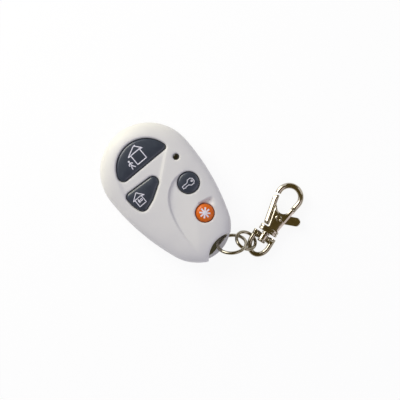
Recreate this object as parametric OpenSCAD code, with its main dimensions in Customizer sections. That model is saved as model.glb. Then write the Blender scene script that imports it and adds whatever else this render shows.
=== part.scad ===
/* [Case] */
// Length of the fob from head to tail
body_l = 60.2; // [56:0.1:66]
// Radius of the round head, half the fob's width
head_r = 18.75; // [17.5:0.05:20]
// Radius of the narrower tail
tail_r = 14.1; // [13:0.1:15]
// Radius of the long side curves
side_r = 85; // [70:1:120]
// Height of the rear shell, from the rest face to the parting line
rear_h = 6; // [5.6:0.1:7]
// Height of the front shell above the parting line, at the head
front_h = 7.5; // [7.2:0.1:9]
// How much lower the front is at the tail than at the head
tail_fall = 2.2; // [1:0.1:2.6]
// Width of the rounded shoulder round the front
front_round = 12.5; // [10:0.5:13]
// Width of the rounded edge round the underside
rear_round = 6; // [4:0.5:8]
// Wall thickness of both shells
wall = 1.8; // [1.4:0.1:2.2]
// Height of the rim that locates the front shell on the rear one
tongue_h = 0.8; // [0.4:0.1:1]

/* [Front face] */
// Depth of the tray round the two large keys
tray_depth = 0.5; // [0.3:0.1:0.8]
// Margin of the tray round the two large keys
tray_margin = 0.8; // [0.5:0.1:1.2]
// Slope of the lowered field beside the curved step, in degrees
step_slope = 4; // [2:0.5:5]
// Depth of the finger scoop beside the small key
scoop_depth = 0.9; // [0.5:0.1:1.2]
// Diameter of the lamp window
lamp_d = 2.3; // [1.8:0.1:3]

/* [Mouth and lip] */
// Radius of the mouth cut in the tail
mouth_r = 10.3; // [9:0.1:11]
// How far the mouth's centre lies past the tail
mouth_past = 5.8; // [5.4:0.1:7]
// How far the mouth's centre lies to the side
mouth_side = 3.9; // [3:0.1:5]
// Width of the lip bar at its middle
lip_w = 1.9; // [1.6:0.1:2.2]
// Underside of the lip bar above the rest face
lip_z = 1.9; // [1.7:0.1:2.1]
// Thickness of the lip bar
lip_t = 1.8; // [1.4:0.1:2]
// Material left at each end of the slot
slot_end = 1.3; // [1:0.1:1.8]

/* [Keys] */
// Radius of the large D-shaped key
away_r = 11.4; // [10.5:0.1:11.8]
// Diameter of the round dark key
disarm_d = 8.3; // [8:0.1:9.4]
// Diameter of the orange key
panic_d = 7.1; // [6.8:0.1:8]
// Travel of every key
key_travel = 0.4; // [0.2:0.05:0.4]
// Gap all round a key in its hole
key_gap = 0.2; // [0.12:0.02:0.3]
// Width of the flange that keeps a key in the shell
flange_w = 0.7; // [0.5:0.1:0.9]
// Thickness of that flange
flange_t = 0.7; // [0.5:0.1:0.7]

/* [Electronics] */
// Thickness of the circuit board
board_t = 1; // [0.8:0.1:1.2]
// Side of a push switch's square body
switch_w = 4.5; // [4:0.1:5]
// Height of a push switch's body
switch_h = 1.6; // [1.4:0.1:1.8]
// Diameter of a push switch's stem
stem_d = 1.8; // [1.4:0.1:2.2]
// Diameter of the coin cell
cell_d = 20; // [16:0.5:20.5]
// Thickness of the coin cell
cell_t = 3.2; // [2.5:0.1:3.4]
// Diameter of the case screw's shank
screw_d = 2; // [1.8:0.1:2.4]

/* [Rings] */
// Wire diameter of both rings
ring_wire = 1.3; // [1.1:0.05:1.35]
// Diameter of the fob ring at the middle of its wire
fob_ring_d = 10.9; // [10.4:0.05:11.4]
// Diameter of the link ring at the middle of its wire
link_ring_d = 7.8; // [7.4:0.05:8.2]

/* [Clip] */
// Wire diameter of the bail
bail_wire = 1.7; // [1.5:0.05:1.75]
// Width of the bail at the middle of its wire
bail_w = 7.8; // [7.6:0.1:8]
// Diameter of the swivel post
post_d = 1.9; // [1.6:0.1:2.2]
// Diameter of the hook bar
hook_bar_d = 2.2; // [2:0.1:2.4]
// Radius of the hook's round end at the middle of its bar
hook_r = 4.5; // [4.3:0.05:4.6]
// Thickness of the clip across its cheeks
clip_t = 4.6; // [4.2:0.1:4.6]
// Thickness of one cheek plate
cheek_t = 1.15; // [1:0.05:1.2]
// Diameter of the lever's pin
pin_d = 2; // [1.6:0.1:2.2]

/* [Hidden] */
$fn = 64;

// Small clearances
cut = 0.5;
fit = 0.05;
snug = 0.02;

// Outline of the case: two end circles joined by long side arcs
head_x = -body_l / 2 + head_r;
tail_x = body_l / 2 - tail_r;
side_x = ((head_x + tail_x) + (tail_r - head_r) * (2 * side_r - head_r - tail_r) / (tail_x - head_x)) / 2;
side_y = sqrt(pow(side_r - head_r, 2) - pow(side_x - head_x, 2));
head_turn = atan2(side_y, head_x - side_x);
tail_turn = atan2(side_y, tail_x - side_x);
ear_out = 0.75;
ear_from = -54;
ear_to = -20;

function arc(c, r, from, to, n) =
    [for (i = [0 : n - 1]) let (a = from + (to - from) * i / n) c + r * [cos(a), sin(a)]];

// The tail's pointed ear stands a little proud of the tail circle
function ear(a) = a < ear_from || a > 0 ? 0
    : a < ear_to ? ear_out * pow((a - ear_from) / (ear_to - ear_from), 2) : ear_out * (-a / -ear_to);
function tail_arc(inset, proud, n) = [for (i = [0 : n - 1])
    let (a = tail_turn * (2 * i / n - 1), r = tail_r - inset + proud * ear(a))
    [tail_x + r * cos(a), r * sin(a)]];
function outline(inset, proud = 0) = concat(
    tail_arc(inset, proud, 24),
    arc([side_x, -side_y], side_r - inset, tail_turn, head_turn, 6),
    arc([head_x, 0], head_r - inset, head_turn, 360 - head_turn, 28),
    arc([side_x, side_y], side_r - inset, 360 - head_turn, 360 - tail_turn, 6));

// Heights of the front fall from head to tail
function fall(x) = 1 - tail_fall / front_h * (x + body_l / 2) / body_l;

// A solid skinned over rings of as many points each
module loft(rings) {
    n = len(rings[0]);
    last = len(rings) - 1;
    points = [for (ring = rings) each ring];
    sides = [for (k = [0 : last - 1], i = [0 : n - 1]) let (j = (i + 1) % n)
        each [[k * n + i, (k + 1) * n + i, (k + 1) * n + j], [k * n + i, (k + 1) * n + j, k * n + j]]];
    ends = [[for (i = [0 : n - 1]) i], [for (i = [n - 1 : -1 : 0]) last * n + i]];
    polyhedron(points, concat(sides, ends), convexity = 6);
}

// Rounded profile of a shell, from its rim to its crown
dome_power = 3.2;
dome_steps = 9;
function round_in(k, n, power) = 1 - pow(cos(90 * k / n), 2 / power);
function round_up(k, n, power) = pow(sin(90 * k / n), 2 / power);
function dome_ring(k, inset, base, height, proud) = [for (p = outline(inset + (front_round - inset)
    * round_in(k, dome_steps, dome_power), proud))
    [p[0], p[1], base + height * fall(p[0]) * round_up(k, dome_steps, dome_power)]];

module front_skin() loft([for (k = [0 : dome_steps]) dome_ring(k, 0, rear_h, front_h, 1)]);

module front_cavity() {
    loft([for (k = [0 : dome_steps]) dome_ring(k, wall, rear_h - cut * (k == 0 ? 1 : 0), front_h - wall, 0)]);
}

rear_steps = 6;
rear_power = 2.6;
floor_t = 1.6;

module rear_skin() {
    loft([for (k = [rear_steps : -1 : 0]) [for (p = outline(rear_round * round_in(k, rear_steps, rear_power)))
        [p[0], p[1], rear_h * (1 - round_up(k, rear_steps, rear_power))]]]);
}

module rear_cavity() {
    loft([for (k = [rear_steps : -1 : 0])
        [for (p = outline(wall + (rear_round - wall / 2) * round_in(k, rear_steps, rear_power)))
        let (low = rear_h - (rear_h - floor_t) * round_up(k, rear_steps, rear_power))
        [p[0], p[1], k == 0 ? rear_h + tongue_h + cut : low]]]);
}

// Mouth at the tail: the slot is the part of the mouth's circle that the lip leaves open
mouth = [body_l / 2 + mouth_past, mouth_side];
mouth_turn = atan2(mouth_side, mouth[0] - tail_x);
lip_off = norm(mouth - [tail_x, 0]) - tail_r + lip_w;
slot_w = mouth_r - lip_off;
end_wall = 1.4;

module at_mouth() translate(mouth) rotate(180 + mouth_turn) children();

module slot_shape() {
    intersection() {
        translate(mouth) circle(mouth_r);
        at_mouth() translate([lip_off, -mouth_r]) square([mouth_r, 2 * mouth_r]);
        polygon(outline(slot_end));
    }
}

// Levels inside the case
board_z = rear_h - 0.8;
board_top = board_z + board_t;
switch_top = board_top + switch_h;
stem_top = switch_top + 0.5;
guide_z = stem_top + flange_t + 0.2;
key_low = guide_z - 0.08 - flange_t;
guide_w = 1;

// Board and cell
board_inset = wall + 1.2;
board_end = tail_x + 2.2;
post_spots = [[head_x - 13.65, 5], [head_x - 13.65, -5], [5, 13], [8, -11]];
board_post_r = 1.5;
cell_at = [head_x - 1.15, 0];
nest_w = 1;
nest_gap = 0.15;
nest_open = 6;

// Screw post near the tail
screw_at = [tail_x + 5.1, -0.6];
post_r = 2.3;
screw_head_d = 2 * screw_d;
screw_head_t = 1.2;
screw_deep = 1.2;

// Key places and outlines
away_x = head_x - 2.5;
away_mid = away_x + 1.2;
away_corner = 1.6;
stay_corners = [[away_x + 6.85, -1.4, 2.3], [away_x + 6.1, -11.35, 1.9], [away_x + 10.9, -10.1, 2.5]];
stay_mid = [away_x + 7.45, -7.4];
disarm_at = [1.88, 8.85];
panic_at = [tail_x - 1.25, 6.23];
lamp_at = [away_x + 5.08, 11.54];
switch_at = [[away_x - 4.6, 0], stay_mid, disarm_at, panic_at];

function away_ring(grow) = let (c = max(away_corner + grow, away_corner / 4), r = away_r + grow,
    x = away_x + grow - c, y = sqrt(pow(r - c, 2) - pow(x - away_mid, 2)), turn = atan2(y, x - away_mid))
    concat(arc([x, y], c, 0, turn, 8), arc([away_mid, 0], r, turn, 360 - turn, 32),
        arc([x, -y], c, -turn, 0, 8), [[x + c, -y]]);

function edge_turn(a, b) = let (d = [b[0] - a[0], b[1] - a[1]])
    atan2(d[1], d[0]) - 90 + asin((a[2] - b[2]) / norm(d));
function stay_ring(grow, size = 1) = [for (i = [0 : 2])
    let (c = stay_corners[i], from = edge_turn(stay_corners[(i + 2) % 3], c))
    let (sweep = (edge_turn(c, stay_corners[(i + 1) % 3]) - from + 720) % 360)
    for (k = [0 : 8]) let (a = from + sweep * k / 8)
    (1 - size) * stay_mid + size * [c[0], c[1]] + (size * c[2] + grow) * [cos(a), sin(a)]];

module away_shape(grow) hull() polygon(away_ring(grow));

module stay_shape(grow) hull() polygon(stay_ring(grow));

module tray_shape() {
    hull() {
        away_shape(tray_margin);
        stay_shape(tray_margin);
    }
}

// The curved step that runs from the round key to the tail
step_from = [-3, 8.5];
step_bend = [-2.5, -6];
step_end = [tail_x + 6.65, -5.9];
step_axis = [[-5, 18], [tail_x + 10, -6]];
function step_point(t) = (1 - t) * (1 - t) * step_from + 2 * t * (1 - t) * step_bend + t * t * step_end;

module step_shape() {
    polygon(concat([for (i = [0 : 16]) step_point(i / 16)],
        [[body_l, -body_l / 4], [body_l, body_l], [0, body_l]]));
}

// The field beside the step: the same dome leaned down about a line from side to tail
module leaned_skin() {
    along = step_axis[1] - step_axis[0];
    turn = atan2(along[1], along[0]);
    lift = [step_axis[0][0], step_axis[0][1], rear_h + front_h * 0.7];
    translate(lift) rotate(turn) rotate([step_slope, 0, 0]) rotate(-turn) translate(-lift) front_skin();
}

scoop_tip = panic_at + [-4.05, 5.67];

module scoop() {
    top = rear_h + front_h * fall(panic_at[0]);
    hull() {
        translate([panic_at[0], panic_at[1], top + panic_d / 2 - scoop_depth]) sphere(panic_d / 2, $fn = 32);
        translate([scoop_tip[0], scoop_tip[1], top + 0.2]) sphere(0.5, $fn = 24);
    }
}

module board_posts() {
    for (spot = post_spots) {
        translate(spot) circle(board_post_r);
    }
}

module cell_nest() {
    difference() {
        translate(cell_at) circle(cell_d / 2 + nest_gap + nest_w);
        translate(cell_at) circle(cell_d / 2 + nest_gap);
        translate(cell_at + [0, -nest_open / 2]) square([cell_d, nest_open]);
    }
}

module column(shape_z, shape_h) translate([0, 0, shape_z]) linear_extrude(shape_h) children();

module key_holes() {
    column(rear_h, body_l) {
        away_shape(key_gap);
        stay_shape(key_gap);
        translate(disarm_at) circle(disarm_d / 2 + key_gap);
        translate(panic_at) circle(panic_d / 2 + key_gap);
        translate(lamp_at) circle(lamp_d / 2 + fit);
    }
}

module key_guides() {
    column(guide_z, front_h) {
        away_shape(key_gap + guide_w);
        stay_shape(key_gap + guide_w);
        translate(disarm_at) circle(disarm_d / 2 + key_gap + guide_w);
        translate(panic_at) circle(panic_d / 2 + key_gap + guide_w);
        translate(lamp_at) circle(lamp_d / 2 + guide_w);
    }
}

module front_shell() color("ivory") {
    difference() {
        front_skin();
        difference() {
            front_cavity();
            translate([mouth[0], mouth[1], 0]) cylinder(r = mouth_r + end_wall, h = body_l);
            key_guides();
            column(rear_h, body_l) translate(screw_at) circle(post_r);
        }
        difference() {
            column(rear_h, body_l) tray_shape();
            translate([0, 0, -tray_depth]) front_skin();
        }
        difference() {
            column(rear_h, body_l) step_shape();
            leaned_skin();
        }
        scoop();
        key_holes();
        translate([mouth[0], mouth[1], 0]) cylinder(r = mouth_r, h = body_l);
        column(rear_h - cut, front_h * fall(screw_at[0]) - wall) translate(screw_at) circle(screw_d / 2 + snug);
        column(rear_h - cut, tongue_h + cut + fit) difference() {
            polygon(outline(wall / 2 - fit));
            translate(mouth) circle(mouth_r + 2 * end_wall);
        }
    }
}

module rear_shell() color("ivory") {
    difference() {
        union() {
            difference() {
                union() {
                    rear_skin();
                    column(rear_h - cut, cut + tongue_h) difference() {
                        polygon(outline(wall / 2 + fit));
                        translate(mouth) circle(mouth_r + 2 * end_wall + 2 * fit);
                    }
                }
                rear_cavity();
            }
            intersection() {
                rear_skin();
                union() {
                    translate([mouth[0], mouth[1], 0]) cylinder(r = mouth_r + end_wall, h = rear_h);
                    column(0, board_z) board_posts();
                    column(0, rear_h) translate(screw_at) circle(post_r);
                    column(0, floor_t + cell_t / 2) cell_nest();
                }
            }
        }
        column(-cut, rear_h + 2 * cut) slot_shape();
        translate([mouth[0], mouth[1], lip_z + lip_t]) cylinder(r = mouth_r, h = rear_h);
        translate([mouth[0], mouth[1], -cut]) cylinder(r = mouth_r, h = lip_z + cut);
        column(-cut, rear_h + 2 * cut) translate(screw_at) circle(screw_d / 2 + fit);
        column(-cut, screw_head_t + screw_deep + cut) translate(screw_at) circle(screw_head_d / 2 + fit);
    }
}

module case_screw() color("silver") translate([screw_at[0], screw_at[1], screw_deep]) {
    cylinder(d = screw_head_d, h = screw_head_t);
    cylinder(d = screw_d, h = rear_h + tongue_h);
}

module circuit_board() color("seagreen") column(board_z, board_t) {
    intersection() {
        polygon(outline(board_inset));
        translate([-body_l, -body_l]) square([body_l + board_end, 2 * body_l]);
    }
}

// Push switches: a body with a bore, and the stem that slides in it
bore_floor = 0.25;
stem_in = 0.7;

module switch_body(i) {
    translate([switch_at[i][0], switch_at[i][1], board_top]) difference() {
        translate([-switch_w / 2, -switch_w / 2, 0]) cube([switch_w, switch_w, switch_h]);
        translate([0, 0, bore_floor]) cylinder(d = stem_d + 2 * fit, h = switch_h);
    }
}

module switch_stem(i) {
    translate([switch_at[i][0], switch_at[i][1], switch_top - stem_in])
        cylinder(d = stem_d, h = stem_top - switch_top + stem_in);
}

module away_switch() color("dimgray") switch_body(0);
module stay_switch() color("dimgray") switch_body(1);
module disarm_switch() color("dimgray") switch_body(2);
module panic_switch() color("dimgray") switch_body(3);
module away_stem() color("tan") switch_stem(0);
module stay_stem() color("tan") switch_stem(1);
module disarm_stem() color("tan") switch_stem(2);
module panic_stem() color("tan") switch_stem(3);

// Status lamp and its window
led_r = 1.2;
led_h = 1;
lens_flange_w = 0.5;
lens_flange_t = 0.6;
lens_sunk = 0.45;

module status_led() color("crimson") translate([lamp_at[0], lamp_at[1], board_top]) {
    cylinder(r = led_r, h = led_h);
    translate([0, 0, led_h]) difference() {
        sphere(led_r);
        translate([0, 0, -led_r]) cube(2 * led_r, center = true);
    }
}

module led_lens() color("black") translate([lamp_at[0], lamp_at[1], 0]) {
    top = rear_h + front_h * fall(lamp_at[0]) - lens_sunk;
    translate([0, 0, guide_z - lens_flange_t]) cylinder(r = lamp_d / 2 + lens_flange_w, h = lens_flange_t);
    translate([0, 0, guide_z]) cylinder(d = lamp_d, h = top - guide_z);
}

// Parts on the board
chip_at = [4.5, -3.2];
chip_l = 9;
chip_w = 3.9;
chip_t = 1.5;
chip_legs = 7;
chip_pitch = 1.27;
leg_w = 0.4;
leg_l = 1;
leg_t = 0.25;
can_at = [13, -3.6];
can_r = 2.3;
can_h = 2.2;
aerial_from = [1, -9.5];
aerial_l = 12;
aerial_rise = 1.6;
aerial_d = 0.8;

module encoder_chip() color("black") translate([chip_at[0], chip_at[1], board_top]) {
    translate([-chip_l / 2, -chip_w / 2, 0]) cube([chip_l, chip_w, chip_t]);
    for (side = [0, 180], i = [0 : chip_legs - 1]) {
        rotate(side) translate([(i - (chip_legs - 1) / 2) * chip_pitch - leg_w / 2, chip_w / 2 - leg_t, 0])
            cube([leg_w, leg_l + leg_t, leg_t]);
    }
}

module resonator_can() color("silver") translate([can_at[0], can_at[1], board_top]) {
    cylinder(r = can_r, h = leg_t);
    cylinder(r = can_r - leg_t, h = can_h);
}

module antenna_loop() color("peru") translate([aerial_from[0], aerial_from[1], board_top]) {
    for (x = [0, aerial_l]) {
        translate([x, 0, 0]) cylinder(d = aerial_d, h = aerial_rise);
        translate([x, 0, aerial_rise]) sphere(d = aerial_d);
    }
    translate([0, 0, aerial_rise]) rotate([0, 90, 0]) cylinder(d = aerial_d, h = aerial_l);
}

// Coin cell with its negative cap upwards, and the two contacts under the board
cell_top = floor_t + cell_t;
cap_in = 1.1;
cap_t = 0.3;
contact_t = 0.2;
contact_w = 3;
contact_pad = 3;

module coin_cell() color("lightgray") translate([cell_at[0], cell_at[1], floor_t]) {
    cylinder(d = cell_d, h = cell_t - cap_t);
    cylinder(d = cell_d - 2 * cap_in, h = cell_t);
}

module contact_strip(points) {
    translate([0, contact_w / 2, 0]) rotate([90, 0, 0]) linear_extrude(contact_w) polygon(points);
}

module contact_negative() color("gold") translate([cell_at[0], cell_at[1], 0]) {
    contact_strip([[-contact_pad, board_z], [-contact_pad, board_z - contact_t], [0, board_z - contact_t],
        [contact_pad, cell_top], [2 * contact_pad, cell_top], [2 * contact_pad, cell_top + contact_t],
        [contact_pad, cell_top + contact_t], [0, board_z]]);
}

module contact_positive() color("gold") translate([cell_at[0] + cell_d / 2 + fit, cell_at[1], 0]) {
    contact_strip([[0, floor_t + cell_t / 4], [contact_t, floor_t + cell_t / 4],
        [contact_t, board_z - contact_t], [contact_pad, board_z - contact_t],
        [contact_pad, board_z], [0, board_z]]);
}

// Keys: a crowned cap, a flange under the shell and a foot on the switch's stem
key_edge = 0.6;
key_crown = 0.45;
foot_r = 1.5;
away_z = 12.75;
stay_z = 12.3;
disarm_z = 12.3;
panic_z = 11.9;

function raise(ring, z) = [for (p = ring) [p[0], p[1], z]];
function edge_in(a) = -key_edge * (1 - cos(a));
function edge_z(top, a) = top - key_edge * (1 - sin(a));

module key_foot(i) {
    translate([switch_at[i][0], switch_at[i][1], stem_top])
        cylinder(r = foot_r, h = key_low - stem_top + flange_t / 2);
}

module away_button() color("darkslategray") {
    loft(concat([raise(away_ring(0), key_low + flange_t / 2)],
        [for (a = [0 : 30 : 90]) raise(away_ring(edge_in(a)), edge_z(away_z, a))],
        [raise(away_ring(-3 * key_edge), away_z + key_crown / 2),
        raise(away_ring(-away_r / 3), away_z + key_crown)]));
    column(key_low, flange_t) polygon(away_ring(flange_w));
    key_foot(0);
}

module stay_button() color("darkslategray") {
    loft(concat([raise(stay_ring(0), key_low + flange_t / 2)],
        [for (a = [0 : 30 : 90]) raise(stay_ring(edge_in(a)), edge_z(stay_z, a))],
        [raise(stay_ring(-key_edge, 0.75), stay_z + key_crown / 2),
        raise(stay_ring(-key_edge, 0.45), stay_z + key_crown)]));
    column(key_low, flange_t) polygon(stay_ring(flange_w));
    key_foot(1);
}

module round_key(at, r, top, i) {
    dome_r = (r * r + key_crown * key_crown) / (2 * key_crown);
    spread = asin((r - key_edge) / dome_r);
    translate([at[0], at[1], 0]) rotate_extrude() polygon(concat(
        [[0, key_low], [r + flange_w, key_low], [r + flange_w, key_low + flange_t], [r, key_low + flange_t]],
        arc([r - key_edge, top - key_edge], key_edge, 0, 90, 6),
        [for (k = [0 : 7]) let (a = spread * (1 - k / 7))
            [dome_r * sin(a), top + dome_r * (cos(a) - cos(spread))]]));
    key_foot(i);
}

module disarm_button() color("darkslategray") round_key(disarm_at, disarm_d / 2, disarm_z, 2);
module panic_button() color("darkorange") round_key(panic_at, panic_d / 2, panic_z, 3);

// Places of the rings and the clip, lying as they fall from the lip bar
ring_slip = 1.53;
ring_gap = 0.105;
bail_gap = 0.25;
fob_ring_lean = [0, 52.12, 144.69];
link_ring_lean = [0, 40.16, 106.03];
clip_turn = 18.3;

// The fob ring's wire passes the middle of the slot, level with the middle of the lip bar
mouth_way = [cos(mouth_turn), sin(mouth_turn)];
slot_mid = mouth - (lip_off + slot_w / 2) * mouth_way + ring_slip * [-mouth_way[1], mouth_way[0]];
fob_pass_turn = 59.1;
function on_ring(lean, d, a) = d / 2 * [cos(lean[2]) * cos(lean[1]) * cos(a) - sin(lean[2]) * sin(a),
    sin(lean[2]) * cos(lean[1]) * cos(a) + cos(lean[2]) * sin(a), -sin(lean[1]) * cos(a)];
fob_ring_at = [slot_mid[0], slot_mid[1], lip_z + lip_t / 2] - on_ring(fob_ring_lean, fob_ring_d, fob_pass_turn);

// The link ring lies against the far side of the fob ring
fob_far_turn = 250.5;
link_pass_turn = 194.5;
link_way = [0.235, -0.7065, -0.6676];
link_ring_at = fob_ring_at + on_ring(fob_ring_lean, fob_ring_d, fob_far_turn)
    + (ring_wire + ring_gap) * link_way - on_ring(link_ring_lean, link_ring_d, link_pass_turn);

// The bail's bow lies against the far side of the link ring, and the clip flat on the rest face
clip_z = clip_t / 2 + fit;
bow_reach = 8.15;
bail_bend = bail_w / 2 - bow_reach;
link_far_turn = 258.75;
bail_pass_turn = 116.75;
bail_way = [-0.0822, -0.6302];
link_far = link_ring_at + on_ring(link_ring_lean, link_ring_d, link_far_turn);
bow_at = [link_far[0], link_far[1]] + (ring_wire / 2 + bail_wire / 2 + bail_gap) * bail_way;
bow_in = [bail_w / 2 * cos(bail_pass_turn), bail_bend - bail_w / 2 * sin(bail_pass_turn)];
clip_at = [bow_at[0] - bow_in[0] * cos(clip_turn) + bow_in[1] * sin(clip_turn),
    bow_at[1] - bow_in[0] * sin(clip_turn) - bow_in[1] * cos(clip_turn), clip_z];

module wire_ring(at, lean, d) {
    translate(at) rotate(lean) rotate_extrude() translate([d / 2, 0]) circle(d = ring_wire);
}

module fob_ring() color("silver") wire_ring(fob_ring_at, fob_ring_lean, fob_ring_d);
module link_ring() color("silver") wire_ring(link_ring_at, link_ring_lean, link_ring_d);

module at_clip() translate(clip_at) rotate(clip_turn) children();

// A round bar along the clip, between two places on it
module along_clip(from, to, d) translate([0, from, 0]) rotate([-90, 0, 0]) cylinder(d = d, h = to - from);

// Swivel: bail with a crossbar, and the headed post that turns in it
bar_d = 2.5;
bar_y = -1.35;
boss_d = 3.8;
head_d = 3.3;
head_h = 0.8;
head_gap = 0.1;
collar_y = 0.9;

module swivel_bail() color("silver") at_clip() difference() {
    union() {
        for (side = [-1, 1]) {
            translate([side * bail_w / 2, 0, 0]) along_clip(bail_bend, 0, bail_wire);
        }
        translate([0, bail_bend, 0]) rotate(180) rotate_extrude(angle = 180)
            translate([bail_w / 2, 0]) circle(d = bail_wire);
        translate([-bail_w / 2, bar_y, 0]) rotate([0, 90, 0]) cylinder(d = bar_d, h = bail_w);
        along_clip(bar_y - bar_d / 2, bar_y + bar_d / 2, boss_d);
    }
    along_clip(bar_y - bar_d, bar_y + bar_d, post_d + 2 * fit);
}

module swivel_post() color("silver") at_clip() {
    along_clip(bar_y - bar_d / 2 - head_gap - head_h, bar_y - bar_d / 2 - head_gap, head_d);
    along_clip(bar_y - bar_d / 2 - head_gap, collar_y, post_d);
}

// Hook body: collar, two cheeks with the lever between them, and the hook bar
collar_h = 2.2;
collar_x = [-3.6, 4.2];
cheek_low = collar_y + collar_h;
cheek_high = 12.1;
cheek_points = [[-0.5, cheek_low], [3.5, cheek_low], [4.9, cheek_high], [5.2, 13.4], [2.6, 13.4],
    [-1.6, 12.2], [-2.1, 10]];
eye_low = [0.6, 12.6, 2.6];
eye_high = [0.3, 17, 3.2];
lever_room = 0.15;
pin_at = [1.1, 7.7];
hook_at = [0.3, 17];
hook_lean = 10.2;
hook_drop = 3.6;
hook_turn = 20;
gate_reach = 9.3;
gate_gap = 0.65;

module clip_outline() {
    difference() {
        union() {
            translate([collar_x[0], collar_y]) square([collar_x[1] - collar_x[0], collar_h]);
            polygon(cheek_points);
        }
        hull() {
            for (eye = [eye_low, eye_high]) {
                translate([eye[0], eye[1]]) circle(eye[2], $fn = 48);
            }
        }
    }
}

module hook_bar() {
    translate([hook_at[0], hook_at[1], 0]) {
        rotate(-hook_lean) {
            rotate_extrude(angle = 180 + hook_lean + hook_turn) translate([hook_r, 0]) circle(d = hook_bar_d);
            translate([hook_r, 0, 0]) along_clip(-hook_drop, 0, hook_bar_d);
        }
    }
}

module clip_hook() color("silver") at_clip() difference() {
    union() {
        translate([0, 0, -clip_t / 2]) linear_extrude(clip_t) clip_outline();
        hook_bar();
    }
    translate([-2 * hook_r, cheek_low + lever_room, -clip_t / 2 + cheek_t])
        cube([4 * hook_r, cheek_high - cheek_low, clip_t - 2 * cheek_t]);
    translate([pin_at[0], pin_at[1], -clip_t]) cylinder(d = pin_d + 2 * snug, h = 2 * clip_t);
    intersection() {
        translate([pin_at[0], pin_at[1], -clip_t]) cylinder(r = gate_reach + gate_gap, h = 2 * clip_t);
        translate([-2 * hook_r, cheek_high, -clip_t]) cube([hook_at[0] + 1.5 * hook_r, 2 * hook_r, 2 * clip_t]);
    }
}

// Lever: gate bar, hub on the pin and thumb tab
gate_points = [[-3, 4.9], [-3.5, 5.4], [-5.6, 16], [-3.2, 16], [-2.4, 12.4], [-0.6, 9.6],
    [2.2, 7.2], [-0.6, 4.9]];
hub_r = 2.3;
tab_at = [6.9, 10];
tab_w = 3.5;
lever_t = clip_t - 2 * cheek_t - 2 * lever_room;
pocket_r = 1.7;
pocket_deep = lever_t - 0.6;

module lever_plate() translate([0, 0, -lever_t / 2]) linear_extrude(lever_t) children();

module clip_lever() color("gray") at_clip() difference() {
    reach = tab_at - pin_at;
    union() {
        lever_plate() intersection() {
            polygon(gate_points);
            translate(pin_at) circle(gate_reach);
        }
        lever_plate() translate(pin_at) circle(hub_r);
        lever_plate() translate(tab_at) circle(d = tab_w);
        lever_plate() translate(pin_at) rotate(atan2(reach[1], reach[0])) translate([0, -tab_w / 2])
            square([norm(reach), tab_w]);
    }
    translate([pin_at[0], pin_at[1], -clip_t]) cylinder(d = pin_d + 2 * fit, h = 2 * clip_t);
    translate([pin_at[0], pin_at[1], lever_t / 2 - pocket_deep]) cylinder(r = pocket_r, h = clip_t);
}

// Hollow rivet with a low head on each cheek
rivet_head_d = pin_d + 0.7;
rivet_head_t = 0.2;
rivet_hole_d = 0.9;

module clip_pin() color("silver") at_clip() translate([pin_at[0], pin_at[1], 0]) difference() {
    union() {
        cylinder(d = pin_d, h = clip_t, center = true);
        for (side = [0, 180]) {
            rotate([side, 0, 0]) translate([0, 0, clip_t / 2]) cylinder(d = rivet_head_d, h = rivet_head_t);
        }
    }
    cylinder(d = rivet_hole_d, h = 2 * clip_t, center = true);
}

// Torsion spring in the lever's pocket
spring_wire = 0.3;
spring_r = (pin_d / 2 + pocket_r) / 2;
spring_turns = 2;
spring_pitch = 0.4;
spring_sides = 6;
spring_steps = 24;

function spring_ring(a) = [for (i = [0 : spring_sides - 1]) let (b = -360 * i / spring_sides)
    let (r = spring_r + spring_wire / 2 * cos(b))
    [r * cos(a), r * sin(a), spring_pitch * a / 360 + spring_wire / 2 * sin(b)]];

module clip_spring() color("lightgray") at_clip() {
    translate([pin_at[0], pin_at[1], lever_t / 2 - pocket_deep + spring_wire])
        loft([for (k = [0 : spring_turns * spring_steps]) spring_ring(360 * k / spring_steps)]);
}

front_shell();
rear_shell();
case_screw();
circuit_board();
away_switch();
stay_switch();
disarm_switch();
panic_switch();
away_stem();
stay_stem();
disarm_stem();
panic_stem();
status_led();
led_lens();
encoder_chip();
resonator_can();
antenna_loop();
coin_cell();
contact_positive();
contact_negative();
away_button();
stay_button();
disarm_button();
panic_button();
fob_ring();
link_ring();
swivel_bail();
swivel_post();
clip_hook();
clip_lever();
clip_pin();
clip_spring();
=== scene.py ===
"""Looks of the alarm key fob: moulded case, press keys, wire rings and trigger clip."""

import logging
import math
from dataclasses import dataclass
from enum import Enum
from typing import Any, Callable, Sequence

import bmesh
import bpy
import numpy as np
from mathutils import Matrix, Vector, geometry


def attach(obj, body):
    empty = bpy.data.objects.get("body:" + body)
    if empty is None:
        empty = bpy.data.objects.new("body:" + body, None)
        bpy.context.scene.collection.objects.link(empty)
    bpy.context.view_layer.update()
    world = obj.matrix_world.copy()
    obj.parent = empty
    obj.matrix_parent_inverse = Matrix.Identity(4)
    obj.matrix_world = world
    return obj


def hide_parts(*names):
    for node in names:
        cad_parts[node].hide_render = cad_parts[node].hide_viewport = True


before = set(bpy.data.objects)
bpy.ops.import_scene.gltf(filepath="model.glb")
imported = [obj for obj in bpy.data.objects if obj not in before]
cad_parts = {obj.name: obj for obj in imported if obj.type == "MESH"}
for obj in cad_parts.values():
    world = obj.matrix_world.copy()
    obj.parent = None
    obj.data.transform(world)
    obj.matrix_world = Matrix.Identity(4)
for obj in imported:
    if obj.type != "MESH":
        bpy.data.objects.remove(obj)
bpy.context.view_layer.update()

MM = 0.001
MERGE = 2e-7
SLIVER = 1e-7
AXIS_R = 0.001
WHITE = (1, 1, 1, 1)
LOG = logging.getLogger("key_fob")


class Body(Enum):
    """Names of the bodies that pieces ride on."""

    FOB = "fob"
    AWAY = "away_key"
    STAY = "stay_key"
    DISARM = "disarm_key"
    PANIC = "panic_key"
    FIRST_RING = "first_ring"
    SECOND_RING = "second_ring"
    BAIL = "bail"
    CLIP = "clip"
    LEVER = "lever"


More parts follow.
